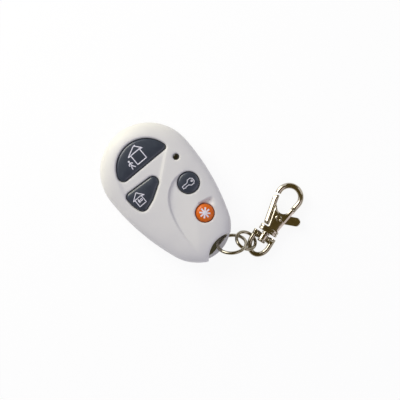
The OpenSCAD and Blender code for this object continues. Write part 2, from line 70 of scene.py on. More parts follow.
class Section(Enum):
    """Sections that a sweep can have."""

    ROUND = "wire_sweep"
    FLAT = "flat_sweep"


# Small geometry helpers, all in millimetres and degrees


def arc(centre: Sequence[float], radius: float, start: float, end: float, count: int) -> np.ndarray:
    """Points on an arc, without its last point.

    Args:
        centre: Middle of the arc.
        radius: Its radius.
        start: First angle in degrees.
        end: Last angle in degrees.
        count: Number of points.

    Returns:
        An array of count rows of x and y.
    """
    turn = np.radians(start + (end - start) * np.arange(count) / count)
    return np.asarray(centre) + radius * np.c_[np.cos(turn), np.sin(turn)]


def circle(centre: Sequence[float], radius: float, count: int) -> np.ndarray:
    """A closed ring of points."""
    return arc(centre, radius, 0, 360, count)


def toward(turn: float) -> np.ndarray:
    """The unit step at an angle."""
    return np.array([math.cos(math.radians(turn)), math.sin(math.radians(turn))])


def bearing(step: Sequence[float]) -> float:
    """Angle of a flat step."""
    return math.degrees(math.atan2(step[1], step[0]))


def level(loop: np.ndarray, z: float) -> np.ndarray:
    """A flat line set at one height."""
    return np.c_[loop, np.full(len(loop), z)]


def away_from(points: np.ndarray, spot: Sequence[float]) -> np.ndarray:
    """Distance from each point to one spot."""
    return np.hypot(*(points - np.asarray(spot)).T)


def ramp(value: np.ndarray, start: float, length: float) -> np.ndarray:
    """Soft ramp from 0 to 1.

    Args:
        value: Where along the ramp each point lies.
        start: Where the ramp begins.
        length: How long it is.

    Returns:
        The height of the ramp for each value.
    """
    part = np.clip((value - start) / length, 0, 1)
    return part * part * (3 - 2 * part)


def inside(points: np.ndarray, loop: np.ndarray) -> np.ndarray:
    """Which points lie inside a closed loop.

    Args:
        points: Rows of x and y.
        loop: The loop's corners.

    Returns:
        One truth value for each point.
    """
    hit = np.zeros(len(points), bool)
    x, y = points[:, 0], points[:, 1]
    for (ax, ay), (bx, by) in zip(loop, np.roll(loop, -1, 0)):
        if ay == by:
            continue
        cross = (ay > y) != (by > y)
        hit ^= cross & (x < (bx - ax) * (y - ay) / (by - ay) + ax)
    return hit


def reach(points: np.ndarray, loop: np.ndarray) -> np.ndarray:
    """Distance from each point to a closed loop.

    Args:
        points: Rows of x and y.
        loop: The loop's corners.

    Returns:
        One distance for each point.
    """
    best = np.full(len(points), np.inf)
    for a, b in zip(loop, np.roll(loop, -1, 0)):
        along = b - a
        length = along @ along
        if length == 0:
            continue
        part = np.clip(((points - a) @ along) / length, 0, 1)
        best = np.minimum(best, np.linalg.norm(points - a - part[:, None] * along, axis=1))
    return best


def signed(points: np.ndarray, loop: np.ndarray) -> np.ndarray:
    """Distance to a closed loop, positive inside it."""
    return np.where(inside(points, loop), 1, -1) * reach(points, loop)


def resample(line: np.ndarray, count: int) -> np.ndarray:
    """An open line as evenly spaced points.

    Args:
        line: Corners of the line.
        count: Number of points wanted.

    Returns:
        The new points, both ends kept.
    """
    step = np.r_[0, np.cumsum(np.linalg.norm(np.diff(line, axis=0), axis=1))]
    want = np.linspace(0, step[-1], count)
    return np.stack([np.interp(want, step, line[:, k]) for k in range(line.shape[1])], 1)


def straight(start: Sequence[float], end: Sequence[float], count: int) -> np.ndarray:
    """Evenly spaced points on a straight line, without its last point."""
    return resample(np.array([start, end]), count)[:-1]


def dense(line: Sequence[Sequence[float]]) -> np.ndarray:
    """A line with points put in so that none are far apart.

    Args:
        line: Corners of the line.

    Returns:
        The corners and the new points between them.
    """
    pitch = 0.3
    line = np.asarray(line, float)
    out = [line[:1]]
    for a, b in zip(line, line[1:]):
        n = max(1, int(math.ceil(np.linalg.norm(b - a) / pitch)))
        out.append(a + (b - a) * (np.arange(1, n + 1) / n)[:, None])
    return np.concatenate(out)


def hexagons(low: Sequence[float], high: Sequence[float], pitch: float) -> np.ndarray:
    """A field of points in staggered rows over a box.

    Args:
        low: The box's lowest corner.
        high: Its highest corner.
        pitch: Distance between neighbours in a row.

    Returns:
        Rows of x and y.
    """
    row_step = 0.866
    cols = np.arange(low[0], high[0], pitch)
    rows = enumerate(np.arange(low[1], high[1], pitch * row_step))
    return np.concatenate([np.c_[cols + pitch / 2 * (i % 2), np.full(len(cols), y)] for i, y in rows])


def shrink(loop: np.ndarray, by: float) -> np.ndarray:
    """Moves a closed loop's points inward along the bisectors of its corners.

    Args:
        loop: Corners in anticlockwise order.
        by: How far the sides move in.

    Returns:
        The moved corners, one for one.
    """
    sharpest = 0.35
    sides = (loop - np.roll(loop, 1, 0), np.roll(loop, -1, 0) - loop)
    lengths = [np.maximum(np.linalg.norm(side, axis=1), 1e-9) for side in sides]
    left = [np.c_[-side[:, 1], side[:, 0]] / length[:, None] for side, length in zip(sides, lengths)]
    mid = left[0] + left[1]
    scale = np.maximum((mid * mid).sum(1) / 2, sharpest)
    return loop + by * mid / scale[:, None]


def hull(points: np.ndarray) -> np.ndarray:
    """The convex outline round some points.

    Args:
        points: Rows of x and y.

    Returns:
        The corners in anticlockwise order.
    """
    loop = points[geometry.convex_hull_2d([Vector(p) for p in points.tolist()])]
    x, y = loop[:, 0], loop[:, 1]
    turned = (x * np.roll(y, -1) - y * np.roll(x, -1)).sum() < 0
    return loop[::-1] if turned else loop


class Mesher:
    """Collects points and faces in millimetres and makes one closed object of them."""

    EDGE_FACETS = 4

    def __init__(self) -> None:
        """Starts empty."""
        self.points: list[np.ndarray] = []
        self.faces: list[tuple[int, ...]] = []
        self.count = 0

    def add(self, points: np.ndarray) -> np.ndarray:
        """Adds points.

        Args:
            points: Rows of x, y and z.

        Returns:
            The points' numbers.
        """
        points = np.asarray(points, float).reshape(-1, 3)
        self.points.append(points)
        self.count += len(points)
        return np.arange(self.count - len(points), self.count)

    def strip(self, low: np.ndarray, high: np.ndarray, closed: bool = True) -> None:
        """Joins two rows of as many points with quads.

        Args:
            low: Point numbers of the first row.
            high: Point numbers of the second row.
            closed: Whether the rows' ends are joined too.
        """
        n = len(low)
        for i in range(n if closed else n - 1):
            j = (i + 1) % n
            self.faces.append((low[i], low[j], high[j], high[i]))

    def loft(self, rings: Sequence[np.ndarray]) -> None:
        """Skins closed rings of as many points each and closes the two ends.

        Args:
            rings: Rows of x, y and z from one end to the other.
        """
        rows = [self.add(ring) for ring in rings]
        for low, high in zip(rows, rows[1:]):
            self.strip(low, high)
        self.faces.append(tuple(rows[0][::-1]))
        self.faces.append(tuple(rows[-1]))

    def plate(self, loop: np.ndarray, low: float, high: float, soft: float) -> None:
        """A plate of an outline with rounded edges above and below.

        Args:
            loop: Anticlockwise outline.
            low: Height of the underside.
            high: Height of the top.
            soft: Radius of its edges.
        """
        turn = np.radians(np.linspace(0, 90, self.EDGE_FACETS + 1))
        levels = [(soft * (1 - math.sin(a)), low + soft * (1 - math.cos(a))) for a in turn]
        levels += [(soft * (1 - math.cos(a)), high - soft * (1 - math.sin(a))) for a in turn]
        self.loft([level(shrink(loop, d), z) for d, z in levels])

    def chamfered(self, loop: np.ndarray, low: float, high: float, wide: float, deep: float) -> None:
        """A plate of an outline with flat chamfers above and below.

        Args:
            loop: Anticlockwise outline.
            low: Height of the underside.
            high: Height of the top.
            wide: Width of the chamfers seen from above.
            deep: Their depth.
        """
        levels = [(wide, low), (0.0, low + deep), (0.0, high - deep), (wide, high)]
        self.loft([level(shrink(loop, d), z) for d, z in levels])

    def turned(self, profile: Sequence[Sequence[float]], count: int) -> None:
        """Turns a closed profile about the z axis.

        Args:
            profile: Pairs of radius and height.
            count: Number of facets round the axis.
        """
        turn = np.radians(np.arange(count) * 360 / count)
        rows = [self.add(np.c_[r * np.cos(turn), r * np.sin(turn), np.full(count, z)]) for r, z in profile]
        for low, high in zip(rows, rows[1:] + rows[:1]):
            self.strip(low, high)

    def move(self, place: Callable[[np.ndarray], np.ndarray], since: int = 0) -> None:
        """Moves every point added after the first so many groups."""
        self.points[since:] = [place(p) for p in self.points[since:]]

    def object(self, name: str, sharp: float = 35) -> bpy.types.Object:
        """Makes the object with outward faces and smooth shading up to an angle.

        Args:
            name: Name of the piece.
            sharp: Angle in degrees past which an edge stays sharp.

        Returns:
            The new object, linked to the scene.
        """
        mesh = bpy.data.meshes.new(name)
        points = (np.concatenate(self.points) * MM).tolist()
        mesh.from_pydata(points, [], [tuple(map(int, f)) for f in self.faces])
        return finish_mesh(link(name, mesh), sharp)


def link(name: str, mesh: bpy.types.Mesh) -> bpy.types.Object:
    """Puts a mesh into the scene as an object.

    Args:
        name: Name of the object.
        mesh: The mesh.

    Returns:
        The object.
    """
    piece = bpy.data.objects.new(name, mesh)
    bpy.context.scene.collection.objects.link(piece)
    return piece


def finish_mesh(piece: bpy.types.Object, sharp: float) -> bpy.types.Object:
    """Merges doubles, points faces outward and sets smooth shading.

    Args:
        piece: The object to clean.
        sharp: Angle in degrees past which an edge stays sharp.

    Returns:
        The same object.
    """
    work = bmesh.new()
    work.from_mesh(piece.data)
    bmesh.ops.remove_doubles(work, verts=work.verts, dist=MERGE)
    bmesh.ops.dissolve_degenerate(work, edges=work.edges, dist=SLIVER)
    bmesh.ops.recalc_face_normals(work, faces=work.faces)
    work.to_mesh(piece.data)
    work.free()
    piece.data.shade_smooth()
    piece.data.set_sharp_from_angle(angle=math.radians(sharp))
    return piece


def carve(piece: bpy.types.Object, cutter: bpy.types.Object) -> None:
    """Cuts one object out of another and removes the cutter.

    Args:
        piece: The object that is cut.
        cutter: The object that cuts it.
    """
    step = piece.modifiers.new("cut", "BOOLEAN")
    step.operation = "DIFFERENCE"
    step.solver = "EXACT"
    step.object = cutter
    apply_modifiers(piece)
    bpy.data.objects.remove(cutter, do_unlink=True)


def apply_modifiers(piece: bpy.types.Object) -> None:
    """Turns an object's evaluated shape into its plain mesh.

    Args:
        piece: The object, which loses its modifiers.
    """
    graph = bpy.context.evaluated_depsgraph_get()
    graph.update()
    mesh = bpy.data.meshes.new_from_object(piece.evaluated_get(graph), depsgraph=graph)
    mesh.name = piece.name
    piece.modifiers.clear()
    piece.data = mesh


def triangles(points: np.ndarray, edges: Sequence[tuple[int, int]],
              keep: Callable[[np.ndarray], np.ndarray]) -> tuple[np.ndarray, np.ndarray, list[int]]:
    """Triangulates a field of points with fixed edges.

    Args:
        points: Rows of x and y.
        edges: Pairs of point numbers that must stay.
        keep: Says which triangles stay, from their middles.

    Returns:
        The points used, the triangles, and each used point's first number in the input.
    """
    out = geometry.delaunay_2d_cdt([Vector(p) for p in points.tolist()], list(edges), [], 0, 1e-6, True)
    spots = np.array([tuple(v) for v in out[0]])
    faces = np.array([f for f in out[2] if len(f) == 3])
    source = [ids[0] if ids else -1 for ids in out[3]]
    return spots, faces[keep(spots[faces].mean(1))], source


def ring_edges(first: int, count: int) -> list[tuple[int, int]]:
    """Edges of a closed loop of points that starts at a number."""
    return [(first + i, first + (i + 1) % count) for i in range(count)]


# Finishes


class Wiring:
    """Adds nodes to a tree and joins them."""

    def __init__(self, tree: bpy.types.NodeTree) -> None:
        """Keeps the tree's nodes and links."""
        self.nodes, self.links = tree.nodes, tree.links

    def feed(self, node: bpy.types.Node, feeds: dict[str | int, Any]) -> bpy.types.Node:
        """Sets a node's inputs.

        Args:
            node: The node.
            feeds: What each input gets: a socket that it is joined to, or a constant on its own socket.

        Returns:
            The same node.
        """
        for key, value in feeds.items():
            if isinstance(value, bpy.types.NodeSocket):
                self.links.new(value, node.inputs[key])
            else:
                node.inputs[key].default_value = value
        return node

    def add(self, kind: str, feeds: dict[str | int, Any] | None = None, **options: Any) -> bpy.types.Node:
        """Adds one node.

        Args:
            kind: Name of the node's type.
            feeds: What each of its inputs gets.
            options: Other settings of the node.

        Returns:
            The new node.
        """
        node = self.nodes.new(kind)
        for name, value in options.items():
            setattr(node, name, value)
        return self.feed(node, feeds or {})

    def reckon(self, operation: str, *terms: Any) -> bpy.types.NodeSocket:
        """Adds one sum and returns its result."""
        return self.add("ShaderNodeMath", dict(enumerate(terms)), operation=operation).outputs["Value"]

    def mixed(self, factor: bpy.types.NodeSocket, first: Sequence[float],
              second: Sequence[float]) -> bpy.types.NodeSocket:
        """Adds a mix of two colours and returns its result."""
        feeds = {"Factor": factor, "A": first, "B": second}
        return self.add("ShaderNodeMix", feeds, data_type="RGBA").outputs["Result"]


@dataclass(frozen=True)
class Finish:
    """One procedural finish.

    The two tones mix by a soft cloud, the roughness follows a finer wear mask, and a fine grain gives the
    bump.
    """

    name: str
    tone: tuple[float, float, float]
    shade: tuple[float, float, float]
    rough: tuple[float, float]
    metal: float = 0.0
    cloud: float = 300.0
    grain: float = 6000.0
    depth: float = 0.00001
    coat: float = 0.0
    stretch: tuple[float, float, float] = (1.0, 1.0, 1.0)
    specular: float = 0.5
    coat_rough: float = 0.12
    bump: float = 0.6

    def build(self, surface: bpy.types.NodeTree) -> bpy.types.Material:
        """Makes the material around the shared surface group.

        Args:
            surface: The node group that gives cloud, wear and grain.

        Returns:
            The finished material.
        """
        material = bpy.data.materials.new(self.name)
        material.use_nodes = True
        wiring = Wiring(material.node_tree)
        place = wiring.add("ShaderNodeTexCoord").outputs["Object"]
        turn = wiring.add("ShaderNodeMapping", {"Vector": place, "Scale": self.stretch})
        feeds = {"Vector": turn.outputs["Vector"], "Cloud scale": self.cloud, "Grain scale": self.grain}
        detail = wiring.add("ShaderNodeGroup", feeds, node_tree=surface).outputs
        colour = wiring.mixed(detail["Cloud"], (*self.tone, 1), (*self.shade, 1))
        span = wiring.add("ShaderNodeMapRange", {
            "Value": detail["Wear"], "To Min": self.rough[0], "To Max": self.rough[1]})
        bump = wiring.add("ShaderNodeBump", {
            "Height": detail["Grain"], "Strength": self.bump, "Distance": self.depth})
        wiring.feed(wiring.nodes["Principled BSDF"], {
            "Base Color": colour, "Roughness": span.outputs["Result"], "Normal": bump.outputs["Normal"],
            "Metallic": self.metal, "Coat Weight": self.coat, "Coat Roughness": self.coat_rough,
            "Specular IOR Level": self.specular})
        return material


def surface_group() -> bpy.types.NodeTree:
    """The shared surface group: a soft cloud, a wear mask and a fine grain.

    Returns:
        The node group with inputs Vector, Cloud scale and Grain scale.
    """
    tree = bpy.data.node_groups.new("surface_detail", "ShaderNodeTree")
    sockets = {"INPUT": {"Vector": "Vector", "Cloud scale": "Float", "Grain scale": "Float"},
               "OUTPUT": {"Cloud": "Float", "Wear": "Float", "Grain": "Float"}}
    for way, names in sockets.items():
        for name, kind in names.items():
            tree.interface.new_socket(name, in_out=way, socket_type="NodeSocket" + kind)
    wiring = Wiring(tree)
    source = wiring.add("NodeGroupInput").outputs

    def noise(scale: bpy.types.NodeSocket, detail: float, rough: float) -> bpy.types.NodeSocket:
        """One layer of noise over the surface."""
        feeds = {"Vector": source["Vector"], "Scale": scale, "Detail": detail, "Roughness": rough}
        return wiring.add("ShaderNodeTexNoise", feeds).outputs["Fac"]

    cloud = wiring.add("ShaderNodeMapRange", {
        "Value": noise(source["Cloud scale"], 4, 0.5), "From Min": 0.35, "From Max": 0.65})
    finer = wiring.reckon("MULTIPLY", source["Cloud scale"], 3.1)
    wiring.add("NodeGroupOutput", {
        "Cloud": cloud.outputs["Result"], "Wear": noise(finer, 6, 0.65),
        "Grain": noise(source["Grain scale"], 2, 0.5)})
    return tree


FINISHES = {
    "shell": Finish("moulded_white", (0.745, 0.740, 0.718), (0.722, 0.717, 0.702), (0.36, 0.48),
                    cloud=120, grain=5200, depth=0.000012, specular=0.35),
    "key": Finish("slate_key", (0.036, 0.046, 0.066), (0.045, 0.056, 0.078), (0.20, 0.30),
                  cloud=260, grain=7000, depth=0.000006, coat=0.25),
    "panic": Finish("orange_key", (0.74, 0.150, 0.004), (0.66, 0.122, 0.003), (0.26, 0.38),
                    cloud=240, grain=7000, depth=0.000005, coat=0.12, specular=0.35),
    "ink": Finish("printed_mark", (0.80, 0.79, 0.86), (0.70, 0.70, 0.78), (0.4, 0.6),
                  cloud=900, grain=9000, depth=0.000003),
    "lens": Finish("tinted_window", (0.010, 0.009, 0.004), (0.018, 0.015, 0.007), (0.08, 0.2),
                   cloud=500, grain=3000, depth=0.000002, coat=0.6),
    "nickel": Finish("nickel_plate", (0.50, 0.46, 0.385), (0.41, 0.365, 0.29), (0.07, 0.18),
                     metal=1.0, cloud=420, grain=4000, depth=0.000003),
    "wire": Finish("nickel_wire", (0.40, 0.365, 0.29), (0.32, 0.285, 0.215), (0.06, 0.15),
                   metal=1.0, cloud=420, grain=4000, depth=0.000002),
    "lever": Finish("nickel_lever", (0.50, 0.46, 0.38), (0.42, 0.37, 0.29), (0.08, 0.16),
                    metal=1.0, cloud=260, grain=3600, depth=0.0000003, stretch=(1.0, 3.0, 1.0)),
    "steel": Finish("bright_steel", (0.56, 0.56, 0.55), (0.46, 0.46, 0.45), (0.22, 0.4),
                    metal=1.0, cloud=700, grain=5000, depth=0.000004),
    "board": Finish("board_laminate", (0.02, 0.13, 0.06), (0.03, 0.17, 0.08), (0.35, 0.5),
                    cloud=220, grain=2500),
    "switch": Finish("switch_body", (0.03, 0.03, 0.032), (0.05, 0.05, 0.05), (0.45, 0.6), cloud=600),
    "stem": Finish("switch_stem", (0.50, 0.38, 0.22), (0.56, 0.43, 0.27), (0.4, 0.55), cloud=600),
    "led": Finish("lamp_resin", (0.55, 0.02, 0.02), (0.62, 0.04, 0.03), (0.08, 0.18),
                  cloud=500, grain=3000, depth=0.000002, coat=0.5),
    "chip": Finish("chip_compound", (0.015, 0.015, 0.016), (0.028, 0.028, 0.028), (0.5, 0.7),
                   cloud=800, grain=8000),
    "copper": Finish("aerial_wire", (0.62, 0.34, 0.20), (0.50, 0.28, 0.17), (0.2, 0.35),
                     metal=1.0, cloud=900, grain=5000, depth=0.000003),
    "cell": Finish("cell_can", (0.62, 0.62, 0.60), (0.55, 0.55, 0.53), (0.22, 0.36),
                   metal=1.0, grain=4000, depth=0.000004),
    "contact": Finish("contact_strip", (0.70, 0.48, 0.22), (0.60, 0.40, 0.18), (0.22, 0.38),
                      metal=1.0, cloud=500, grain=4500, depth=0.000004, stretch=(1.0, 4.0, 1.0)),
}

CARRIED = {
    "case_screw": "steel", "clip_spring": "steel", "circuit_board": "board",
    "away_switch": "switch", "stay_switch": "switch", "disarm_switch": "switch", "panic_switch": "switch",
    "away_stem": "stem", "stay_stem": "stem", "disarm_stem": "stem", "panic_stem": "stem",
    "status_led": "led", "encoder_chip": "chip", "resonator_can": "cell", "antenna_loop": "copper",
    "coin_cell": "cell", "contact_positive": "contact", "contact_negative": "contact",
}


def place_piece(piece: bpy.types.Object, body: Body, slot: str, *nodes: str) -> None:
    """Hands a finished piece to the frame.

    Args:
        piece: The finished object.
        body: The body it rides on.
        slot: Not used.
        nodes: The solids that it stands for.
    """
    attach(piece, body.value)
    if nodes:
        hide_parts(*nodes)
    LOG.info("%s: %d faces on %s", piece.name, len(piece.data.polygons), body.value)


class Paint:
    """Builds each finish once and dresses pieces in it."""

    def __init__(self) -> None:
        """Makes all the materials."""
        surface = surface_group()
        self.materials = {key: finish.build(surface) for key, finish in FINISHES.items()}

    def dress(self, piece: bpy.types.Object, finish: str) -> None:
        """Gives a piece one finish all over."""
        piece.data.materials.clear()
        piece.data.materials.append(self.materials[finish])

    def settle(self, piece: bpy.types.Object, finish: str, body: Body, slot: str, *nodes: str) -> None:
        """Dresses a piece and hands it to the frame."""
        self.dress(piece, finish)
        place_piece(piece, body, slot, *nodes)

    def carried(self) -> None:
        """Dresses the inner solids that are shown as they come from the frame."""
        for name, finish in CARRIED.items():
            self.dress(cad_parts[name], finish)
            LOG.info("%s: solid dressed as %s", name, finish)


# Geometry Nodes trees


class ShapeTree:
    """A node tree with named inputs that ends in real geometry of one material."""

    def __init__(self, name: str, **inputs: str) -> None:
        """Makes the tree's sockets.

        Args:
            name: Name of the tree.
            inputs: The kind of each named input.
        """
        self.tree = bpy.data.node_groups.new(name, "GeometryNodeTree")
        face = self.tree.interface
        for way in ("INPUT", "OUTPUT"):
            face.new_socket("Geometry", in_out=way, socket_type="NodeSocketGeometry")
        self.sockets = {}
        for key, kind in {**inputs, "Finish": "Material"}.items():
            socket = face.new_socket(key, in_out="INPUT", socket_type="NodeSocket" + kind)
            self.sockets[key] = socket.identifier
        self.wiring = Wiring(self.tree)
        self.source = self.wiring.add("NodeGroupInput").outputs

    def close(self, shape: bpy.types.NodeSocket) -> None:
        """Makes the shape real, sets its material and joins it to the output.

        Args:
            shape: The socket that gives the shape.
        """
        real = self.wiring.add("GeometryNodeRealizeInstances", {"Geometry": shape})
        coat = self.wiring.add("GeometryNodeSetMaterial", {
            "Geometry": real.outputs["Geometry"], "Material": self.source["Finish"]})
        self.wiring.add("NodeGroupOutput", {"Geometry": coat.outputs["Geometry"]})

    def apply(self, piece: bpy.types.Object, **values: Any) -> None:
        """Runs the tree on a piece and leaves a plain mesh.

        Args:
            piece: The object that the tree starts from.
            values: What each named input gets.
        """
        step = piece.modifiers.new(self.tree.name, "NODES")
        step.node_group = self.tree
        for key, value in values.items():
            step[self.sockets[key]] = value
        apply_modifiers(piece)


class Sweep(ShapeTree):
    """A node tree that sweeps a round or flat section along lines."""

    FACETS = 28

    def __init__(self, section: Section) -> None:
        """Builds the tree.

        Args:
            section: The section that it sweeps.
        """
        super().__init__(section.value, Width="Float", Height="Float")
        wiring, source = self.wiring, self.source
        path = wiring.add("GeometryNodeMeshToCurve", {"Mesh": source["Geometry"]}).outputs["Curve"]
        if section is Section.FLAT:
            path = wiring.add("GeometryNodeSetCurveNormal", {"Curve": path}, mode="Z_UP").outputs["Curve"]
            profile = wiring.add("GeometryNodeCurvePrimitiveQuadrilateral", {
                "Width": source["Width"], "Height": source["Height"]})
        else:
            profile = wiring.add("GeometryNodeCurvePrimitiveCircle", {
                "Resolution": self.FACETS, "Radius": wiring.reckon("MULTIPLY", source["Width"], 0.5)})
        skin = wiring.add("GeometryNodeCurveToMesh", {
            "Curve": path, "Profile Curve": profile.outputs["Curve"], "Fill Caps": True})
        self.close(skin.outputs["Mesh"])

    def run(self, name: str, lines: Sequence[tuple[np.ndarray, bool]], width: float, height: float,
            finish: bpy.types.Material) -> bpy.types.Object:
        """Sweeps the section along lines and returns a plain mesh.

        Args:
            name: Name of the piece.
            lines: Rows of x, y and z in millimetres, each with whether it closes.
            width: Width or diameter of the section in millimetres.
            height: Height of a flat section in millimetres.
            finish: Material of the sweep.

        Returns:
            The swept object.
        """
        edges, first = [], 0
        for line, closed in lines:
            ring = ring_edges(first, len(line))
            edges += ring if closed else ring[:-1]
            first += len(line)
        mesh = bpy.data.meshes.new(name)
        mesh.from_pydata((np.concatenate([line for line, _ in lines]) * MM).tolist(), edges, [])
        piece = link(name, mesh)
        self.apply(piece, Width=width * MM, Height=height * MM, Finish=finish)
        return finish_mesh(piece, sharp=50)


class Rays(ShapeTree):
    """A node tree that sets an arm out around a centre, for the printed star."""

    def __init__(self) -> None:
        """Builds the tree."""
        super().__init__("ray_star", Count="Int")
        wiring, count = self.wiring, self.source["Count"]
        spots = wiring.add("GeometryNodePoints", {"Count": count, "Radius": 0})
        number = wiring.add("GeometryNodeInputIndex").outputs["Index"]
        angle = wiring.reckon("MULTIPLY", wiring.reckon("DIVIDE", number, count), math.tau)
        turn = wiring.add("ShaderNodeCombineXYZ", {"Z": angle})
        arms = wiring.add("GeometryNodeInstanceOnPoints", {
            "Points": spots.outputs["Points"], "Instance": self.source["Geometry"],
            "Rotation": turn.outputs["Vector"]})
        self.close(arms.outputs["Instances"])


# The case


@dataclass
class CaseShape:
    """Sizes of the case, in millimetres, and the heights of its front."""

    body_l: float = 60.2
    head_r: float = 18.75
    tail_r: float = 14.1
    side_r: float = 85.0
    rear_h: float = 6.0
    front_h: float = 7.5
    tail_fall: float = 2.2
    front_round: float = 12.5
    rear_round: float = 6.0
    wall: float = 1.8
    floor_t: float = 1.6
    mouth: tuple[float, float] = (35.9, 3.9)
    mouth_r: float = 10.3
    end_wall: float = 1.4
    lip_w: float = 1.9
    lip_z: float = 1.9
    lip_t: float = 1.8
    slot_end: float = 1.0
    ear_out: float = 0.75
    ear_from: float = -54.0
    ear_to: float = -20.0
    dome_power: float = 3.2
    rear_power: float = 2.6
    parting: float = 0.12
    trim: float = 0.045

    def __post_init__(self) -> None:
        """Works out where the end circles meet the side arcs."""
        self.head_x = -self.body_l / 2 + self.head_r
        self.tail_x = self.body_l / 2 - self.tail_r
        lean = (self.tail_r - self.head_r) * (2 * self.side_r - self.head_r - self.tail_r)
        self.side_x = ((self.head_x + self.tail_x) + lean / (self.tail_x - self.head_x)) / 2
        self.side_y = math.sqrt((self.side_r - self.head_r) ** 2 - (self.side_x - self.head_x) ** 2)
        self.head_turn = bearing((self.head_x - self.side_x, self.side_y))
        self.tail_turn = bearing((self.tail_x - self.side_x, self.side_y))

    def ear(self, turn: np.ndarray) -> np.ndarray:
        """How far the tail's pointed ear stands out.

        Args:
            turn: Angles about the tail's centre.

        Returns:
            The ear's height at each angle.
        """
        rise = self.ear_out * ((turn - self.ear_from) / (self.ear_to - self.ear_from)) ** 2
        fall = self.ear_out * turn / self.ear_to
        return np.where((turn < self.ear_from) | (turn > 0), 0, np.where(turn < self.ear_to, rise, fall))

    def ring(self, inset: float, proud: float = 1.0, fine: int = 4) -> np.ndarray:
        """The case's outline, moved in.

        Args:
            inset: How far inside the outline.
            proud: Share of the ear that shows.
            fine: Points per unit of the plain count.

        Returns:
            The closed loop.
        """
        turn = self.tail_turn * (2 * np.arange(24 * fine) / (24 * fine) - 1)
        inset = inset + self.trim
        radius = self.tail_r - inset + proud * self.ear(turn)
        tail = np.c_[self.tail_x + radius * np.cos(np.radians(turn)), radius * np.sin(np.radians(turn))]
        low, high = (self.side_x, -self.side_y), (self.side_x, self.side_y)
        return np.concatenate([
            tail,
            arc(low, self.side_r - inset, self.tail_turn, self.head_turn, 6 * fine),
            arc((self.head_x, 0), self.head_r - inset, self.head_turn, 360 - self.head_turn, 28 * fine),
            arc(high, self.side_r - inset, 360 - self.head_turn, 360 - self.tail_turn, 6 * fine)])

    def depth(self, p: np.ndarray) -> np.ndarray:
        """How far inside the outline points lie.

        Args:
            p: Rows of x and y.

        Returns:
            One depth for each point.
        """
        x, y = p[:, 0], p[:, 1]
        turn = np.degrees(np.arctan2(np.abs(y) + self.side_y, x - self.side_x))
        side = self.side_r - np.hypot(x - self.side_x, np.abs(y) + self.side_y)
        about = np.degrees(np.arctan2(y, x - self.tail_x))
        tail = self.tail_r + self.ear(about) - np.hypot(x - self.tail_x, y)
        head = self.head_r - np.hypot(x - self.head_x, y)
        return np.where(turn < self.tail_turn, tail, np.where(turn > self.head_turn, head, side)) - self.trim

    def fall(self, x: np.ndarray) -> np.ndarray:
        """Share of the front's height that is left along the fob."""
        return 1 - self.tail_fall / self.front_h * (x + self.body_l / 2) / self.body_l

    def dome(self, p: np.ndarray) -> np.ndarray:
        """Height of the plain dome.

        Args:
            p: Rows of x and y.

        Returns:
            The height over each point.
        """
        part = np.clip(self.depth(p), 0, self.front_round) / self.front_round
        cosine = (1 - part) ** (self.dome_power / 2)
        rise = np.sqrt(np.maximum(1 - cosine * cosine, 0)) ** (2 / self.dome_power)
        return self.rear_h + self.front_h * self.fall(p[:, 0]) * rise


@dataclass
class Keys:
    """Places and outlines of the four press keys and the lamp, in millimetres."""

    away_x: float = -13.85
    away_mid: float = -12.65
    away_r: float = 11.4
    away_corners: tuple[float, float] = (1.15, 2.2)
    disarm_at: tuple[float, float] = (1.88, 8.85)
    disarm_r: float = 4.15
    panic_at: tuple[float, float] = (14.75, 6.23)
    panic_r: float = 3.55
    lamp_at: tuple[float, float] = (-8.77, 11.54)
    lamp_r: float = 1.15
    stay_corners: tuple[tuple[float, float, float], ...] = (
        (-7.0, -1.5, 2.2), (-7.85, -11.35, 1.9), (-5.835, -7.158, 6.0), (-3.0, -10.05, 2.45),
        (-6.40, -8.0, 5.0))

    def away(self, grow: float) -> np.ndarray:
        """Outline of the large D-shaped key.

        Args:
            grow: How far it is grown.

        Returns:
            The closed loop.
        """
        r, flat = self.away_r + grow, self.away_x + grow
        ends = []
        for corner, side in zip(self.away_corners, (1, -1)):
            c = max(corner + grow, corner / 4)
            y = side * math.sqrt((r - c) ** 2 - (flat - c - self.away_mid) ** 2)
            ends.append((c, y, bearing((flat - c - self.away_mid, y))))
        (upper, high, start), (lower, low, stop) = ends
        return np.concatenate([
            arc((flat - upper, high), upper, 0, start, 20),
            arc((self.away_mid, 0), r, start, 360 + stop, 120),
            arc((flat - lower, low), lower, stop, 0, 20),
            straight((flat, low), (flat, high), 60)])

    def stay(self, grow: float) -> np.ndarray:
        """Outline of the three-cornered key.

        Args:
            grow: How far it is grown.

        Returns:
            The closed loop.
        """
        corners = [np.array(c) for c in self.stay_corners]
        turns = []
        for a, b in zip(corners, corners[1:] + corners[:1]):
            d = b[:2] - a[:2]
            turns.append(bearing(d) - 90 + math.degrees(math.asin((a[2] - b[2]) / np.linalg.norm(d))))
        loop = []
        for i, c in enumerate(corners):
            start = turns[i - 1]
            sweep = (turns[i] - start) % 360
            loop.append(arc(c[:2], c[2] + grow, start, start + sweep, 24))
            loop.append([c[:2] + (c[2] + grow) * toward(turns[i])])
        loop = np.concatenate(loop)
        return resample(np.r_[loop, loop[:1]], 181)[:-1]

    def disarm(self, grow: float) -> np.ndarray:
        """Outline of the round dark key, grown by a distance."""
        return circle(self.disarm_at, self.disarm_r + grow, 120)

    def panic(self, grow: float) -> np.ndarray:
        """Outline of the round orange key, grown by a distance."""
        return circle(self.panic_at, self.panic_r + grow, 112)

    def lamp(self, grow: float) -> np.ndarray:
        """Outline of the lamp window, grown by a distance."""
        return circle(self.lamp_at, self.lamp_r + grow, 48)


